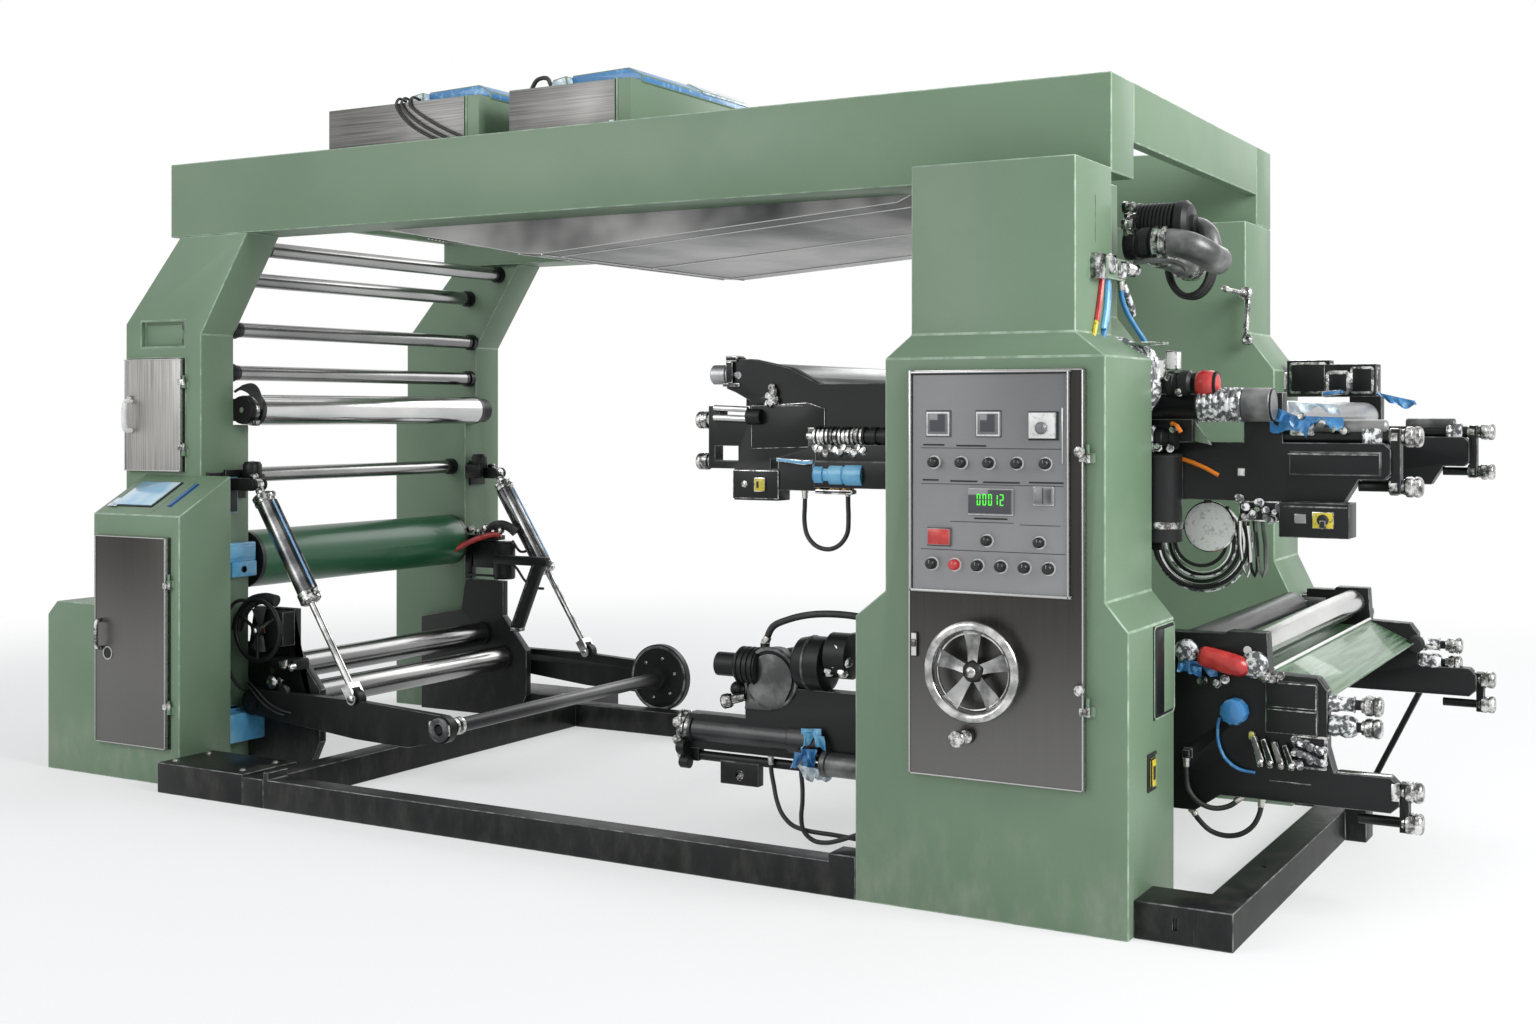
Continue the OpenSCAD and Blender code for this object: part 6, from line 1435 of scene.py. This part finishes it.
film_strip(upper_right, (276, 2236, 1660), (438, 2228, 1622), 46, 4.1, 10)
upper_right.slab("xz", [(92, 1640), (168, 1648), (170, 1668), (96, 1662)], 2160, 2222, 4)
upper_right.use(clear_film)
film_strip(upper_right, (330, 574, 1610), (486, 578, 1600), 44, 1.3, 8)
upper_right.use(white_grip).block(-128, -56, 2236, 2296, 1664, 1740, 8)
upper_right.use(chrome).block(330, 410, 596, 640, 1500, 1560, 8)
upper_right.use(chrome)
lumps(upper_right, [(372, 590, 1560), (430, 596, 1540), (470, 598, 1528), (500, 600, 1516)], -1)
for k, (x0, x1, z0, z1, y0) in enumerate(((-62, 112, 1640, 1792, 2226), (88, 200, 1638, 1752, 2220),
        (180, 296, 1638, 1772, 2222))):
    upper_right.use(black).block(x0, x1, y0, 2316 - 4 * k, z0, z1, 22)
upper_right.use(shadow_gap).turned((-80, 560, 1440), (0, 0, -1), [(0, -2), (70, -2), (76, 4), (76, 10)], 36)
upper_right.use(chrome).turned((-80, 560, 1196), UP, [(74.5, 0), (77, 3), (77, 22), (74.5, 25)], 40, True)
upper_right.block(-166, -158, 478, 486, 1262, 1430, 2)
upper_right.done("machine_frame", "chrome_steel")


# Air hoses of the right upper deck: coiled on themselves round a pressed white disc and
# strapped to its hanger, black and clear tube by turns.
coil = Part("coiled_air_hoses", black)
coil.use(white_grip).turned((64, 634, 1202), (0, 1, 0), [(0, 0), (74, 0), (80, 3), (82, 8), (80, 14), (0,
        15)], 48)
coil.use(chrome).turned((64, 634, 1202), (0, 1, 0), [(80, 1), (84, 4), (84, 9), (80, 12)], 48, True)
coil.use(dark_roller).block(45, 71, 636, 650, 1250, 1296, 3)
for k, (r, tube) in enumerate(((84, 6), (97, 5), (108, 6.5), (119, 4), (130, 6.5), (142, 5), (153, 6.5),
        (163, 4))):
    loop = [(30 + 3 * math.sin(k) + r * math.sin(a), 656 + 5 * (k % 3) + 3 * math.sin(a + k),
            1150 + 6 * math.cos(2 * k) * (1 - k / 9) - r * math.cos(a)) for a in [math.radians(-118 + 8.5 * i + 5 * (k % 2)) for i in range(27 + (k * 5) % 7)]]
    loop = [(64, 660, 1214)] + loop + [(120 - 6 * k, 652, 1270)] if k < 3 else loop
    coil.use((black, bright_roller, black, spray_white)[k % 4]).pipe(loop, tube, 7)
coil.use(black).block(-150, -96, 640, 668, 1118, 1146, 5)
coil.done("machine_frame", "hose_plastic", "hose_coil")


# Right lower deck: the ink side, with the anilox and fountain rollers, their chromed end
# collars, throw-off levers and the two ink keys that swing the tray.
lower_right = Part("right_lower_deck_fittings", chrome)
for y, near, lift in ((620, True, 0), (2260, False, 130)):
    out_, side, lo_hi = plate_face(y, near)
    for z in (404 + lift, 308 + lift):
        hand_knob(lower_right, 671, y, z, 1, 33, 62)
    hand_knob(lower_right, 551, y, 660, 1, 32, 62)
    hand_knob(lower_right, 551, y, 590, 1, 31, 60)
    lower_right.use(spray_white).turned((448, y, 590), RIGHT,
            [(0, 0), (22, 0), (32, 6), (35, 20), (30, 34), (36, 52), (33, 74), (26, 86), (0, 87)], 20)
    lower_right.turned((446, y, 660), RIGHT, [(0, 0), (20, 0), (27, 6), (27, 30), (22, 38), (22, 76), (27,
            82), (0, 88)], 20)
    lower_right.use(bright_roller).block(478, 640, y - 22, y + 22, 446 + lift, 450 + lift,
            1.5) if near else None
    lower_right.use(chrome).block(640, 668, *lo_hi(-34, 4), 376 + lift, 432 + lift, 6)
    lower_right.use(spray_white).turned((5, side(0), 800), (0, out_, 0),
            [(0, -4), (34, -4), (38, 2), (38, 16), (30, 22), (22, 24), (22, 40), (0, 41)], 28)
    lower_right.turned((226, side(0), 770), (0, out_, 0),
            [(0, -4), (38, -4), (43, 4), (43, 22), (36, 28), (26, 30), (26, 42), (0, 43)], 28)
    if not near:
        continue
    lower_right.use(black).block(262, 421, *lo_hi(14, 20), 640, 720, 6)
    lower_right.block(262, 421, *lo_hi(14, 18), 558, 634, 6)
    # A thin bright line along the plate: wear with a painted edge highlight.
    lower_right.use(black_wear_and_edge_highlight).block(300, 416, *lo_hi(18, 21), 630, 635, 1.5)
    for k, x in enumerate((214, 246, 280, 314)):
        lower_right.use((duct_grey, black)[k % 2]).slab("xz",
                [(x, 540 - 6 * k), (x + 16, 546 - 6 * k), (x + 44, 470 - 4 * k), (x + 40, 446),
                (x + 22, 444), (x + 16, 474)], *lo_hi(2 + 3 * k, 22 + 3 * k), 4)
        lower_right.use(chrome).turned((x + 32, side(20 + 3 * k), 462), (0, out_, 0),
                [(0, -4), (10, -2), (10, 8), (6, 12), (0, 12)], 10)
    lower_right.use(spray_white)
    lumps(lower_right, [(352 + 17 * (k % 6), side(10 + 8 * (k % 2)),
            540 - 18 * (k // 3) - 4 * (k % 3)) for k in range(14)], out_, 0.85)
    lower_right.use(black).block(340, 452, *lo_hi(-40, 8), 448, 560, 10)
    lower_right.use(chrome)
    lumps(lower_right, [(106, side(14), 700), (132, side(16), 716), (262, side(20), 732),
            (288, side(18), 728), (308, side(16), 742), (60, side(14), 708)], out_)
    lower_right.use(signal_yellow).block(206, 226, *lo_hi(0, 14), 528, 556, 4)
    # A thin bright line along the plate: wear with a painted edge highlight.
    lower_right.use(black_wear_and_edge_highlight).block(270, 400, *lo_hi(0, 2), 400, 404, 1)
lower_right.use(signal_red).turned((52, 560, 792), (1, 0, -0.22),
        [(0, 0), (24, 2), (32, 12), (35, 40), (35, 108), (33, 136), (24, 156), (10, 166), (0, 168)], 30)
lower_right.use(blue_film).turned((165, 592, 617), (0, -1, 0),
        [(0, -2), (38, 0), (43, 8), (40, 20), (44, 34), (42, 50), (30, 58), (0, 60)], 11)
film_strip(lower_right, (-20, 572, 778), (108, 570, 756), 54, 0.9)
film_strip(lower_right, (-18, 560, 762), (60, 556, 752), 40, 2.7)
lower_right.pipe(smooth_route([(112, 584, 590), (108, 576, 560), (112, 572, 510), (134, 572, 462),
        (176, 576, 432), (226, 586, 424)]), 5.5, 8)
lower_right.use(white_grip).rod((268, 652, 750), (268, 2228, 750), 6, 12, 2)
lower_right.use(duct_grey).turned((-34, 2250, 806), RIGHT,
        [(0, 0), (24, 2), (28, 8), (28, 128), (20, 134), (0, 135)], 20)
hand_knob(lower_right, 102, 2250, 806, 1, 30, 62)
lower_right.use(shadow_gap).turned((446, 2226, 664), (0, -1, 0),
        [(0, 0), (26, 4), (34, 16), (34, 34), (26, 46), (0, 50)], 20)
lower_right.use(chrome).rod((470, 2206, 656), (524, 2206, 650), 7, 10, 2)
lower_right.done("machine_frame", "chrome_steel")


# Ink tray: folded from sheet, stove-enamelled green, with long streaks of painted sheen along its width.
tray_green = Finish("tray_green", (0.07, 0.15, 0.075), 0.3, 0.0, 0.25)
painted_sheen_streaks = tray_green.noise(3.0, stretch=(26, 1.0, 26), detail=6)
tray_green.set(**{"Base Color": tray_green.blend(painted_sheen_streaks.fade(0.38, 0.66), (0.05, 0.115, 0.055),
        (0.17, 0.27, 0.17)), "Roughness": painted_sheen_streaks * 0.4 + 0.12})
tray_green.bump(painted_sheen_streaks, 0.001, 0.4)
# Its bevels take the pale painted edge highlight.
eased("ink_tray", 1.0, tray_green, green_edge_highlight, "machine_paint", shortest=0.05)


# Neck of the cabinet: a chromed cable bracket with clamped glands, and the wire tails that
# come out of them over the painted side.
neck = Part("neck_cable_bracket", chrome)
neck.block(-190, -156, 190, 262, 1994, 2076, 6)
neck.use(spray_white).block(-188, -150, 290, 356, 2014, 2080, 12)
neck.block(-186, -152, 384, 452, 2006, 2064, 8)
for k in range(6):
    neck.use(chrome).turned((-164, 466 + 17 * k, 2044), (0, 1, 0),
            [(0, -2), (20, -2), (24, 2), (24, 7), (18, 10), (0, 10)], 16)
neck.use(spray_white).pipe([(-172, 470, 1992), (-166, 500, 1950), (-160, 520, 1920), (-164, 540, 1896)], 12,
        10)
for finish, steps, r in ((signal_red, ((292, 2010), (276, 1960), (256, 1906), (236, 1862)), 15),
        (signal_yellow, ((252, 1898), (232, 1858), (214, 1824), (196, 1800)), 12),
                         (orange_wire, ((262, 1910), (246, 1872), (228, 1846)), 11),
                         (sky_plastic, ((340, 2010), (338, 1960), (326, 1900), (300, 1840)), 16),
                         (blue_film, ((352, 1990), (350, 1930), (330, 1866), (296, 1810)), 15)):
    neck.use(finish).pipe(smooth_route([(-182, y, z) for y, z in steps]), r * 0.7, 9)
neck.use(shadow_gap).block(-188.2, -186.4, 240, 244, 2110, 2260, 0.4)
neck.use(green).block(-186, -20, 420, 470, 1790, 1802, 3)
neck.done("machine_frame", "chrome_steel")


# Floor, light and surroundings: a plain pale studio floor under large soft lamps.
floor_mesh = bpy.data.meshes.new("floor")
floor_mesh.from_pydata([(-60, -60, 0), (60, -60, 0), (60, 60, 0), (-60, 60, 0)], [], [(0, 1, 2, 3)])
floor = bpy.data.objects.new("floor", floor_mesh)
bpy.context.scene.collection.objects.link(floor)
pale = Finish("studio_floor", (0.9, 0.9, 0.9), 0.75)
pale.set(**{"Base Color": pale.blend(pale.noise(0.6), (0.89, 0.89, 0.89), (0.91, 0.91, 0.91)),
        "Specular IOR Level": 0.1})
floor_mesh.materials.append(pale.material)


def seen_white(wires):
    """1 for the rays that show the background, which is plain white."""
    rays = wires.nodes.new("ShaderNodeLightPath")
    total = rays.outputs["Is Camera Ray"]
    for other in ("Is Glossy Ray", "Is Transmission Ray"):
        larger = wires.nodes.new("ShaderNodeMath")
        larger.operation = "MAXIMUM"
        wires.links.new(total, larger.inputs[0])
        wires.links.new(rays.outputs[other], larger.inputs[1])
        total = larger.outputs[0]
    return total


reach = pale.node("ShaderNodeVectorMath", {"operation": "LENGTH"}, {0: pale.place}, "Value")
shine = Wire(pale, seen_white(pale.tree)) * (reach.fade(4.2, 8.5) * 0.56 + 0.44)
glow = pale.node("ShaderNodeEmission", {}, {"Color": (1, 1, 1, 1), "Strength": 1.0})
mixed = pale.tree.nodes.new("ShaderNodeMixShader")
pale.tree.links.new(shine.socket, mixed.inputs[0])
pale.tree.links.new(pale.shader.outputs[0], mixed.inputs[1])
pale.tree.links.new(glow.socket, mixed.inputs[2])
pale.tree.links.new(mixed.outputs[0], pale.tree.nodes["Material Output"].inputs[0])

world = bpy.data.worlds.new("studio")
bpy.context.scene.world = world
world.use_nodes = True
sky = world.node_tree
sky.nodes.clear()
out = sky.nodes.new("ShaderNodeOutputWorld")
choose = sky.nodes.new("ShaderNodeMixShader")
light = sky.nodes.new("ShaderNodeBackground")
light.inputs["Color"].default_value = (0.93, 0.96, 1.0, 1)
light.inputs["Strength"].default_value = 0.52
white = sky.nodes.new("ShaderNodeBackground")
white.inputs["Color"].default_value = (1, 1, 1, 1)
sky.links.new(seen_white(sky), choose.inputs[0])
sky.links.new(light.outputs[0], choose.inputs[1])
sky.links.new(white.outputs[0], choose.inputs[2])
sky.links.new(choose.outputs[0], out.inputs[0])

for name, spot, aim, size, power in (
        ("key_light", (8.0, -1.6, 5.0), (0.6, 0, 1.2), 4.0, 560),
        ("fill_light", (-3.5, -7.0, 4.5), (-1.0, 0, 1.2), 4.5, 190),
        ("rear_light", (0.5, 6.5, 5.0), (0, 0, 1.2), 4.0, 150)):
    lamp = bpy.data.lights.new(name, "AREA")
    lamp.shape, lamp.size, lamp.energy = "SQUARE", size, power
    holder = bpy.data.objects.new(name, lamp)
    holder.location = spot
    holder.rotation_euler = (Vector(aim) - Vector(spot)).to_track_quat("-Z", "Y").to_euler()
    bpy.context.scene.collection.objects.link(holder)
bpy.context.scene.view_settings.view_transform = "Standard"
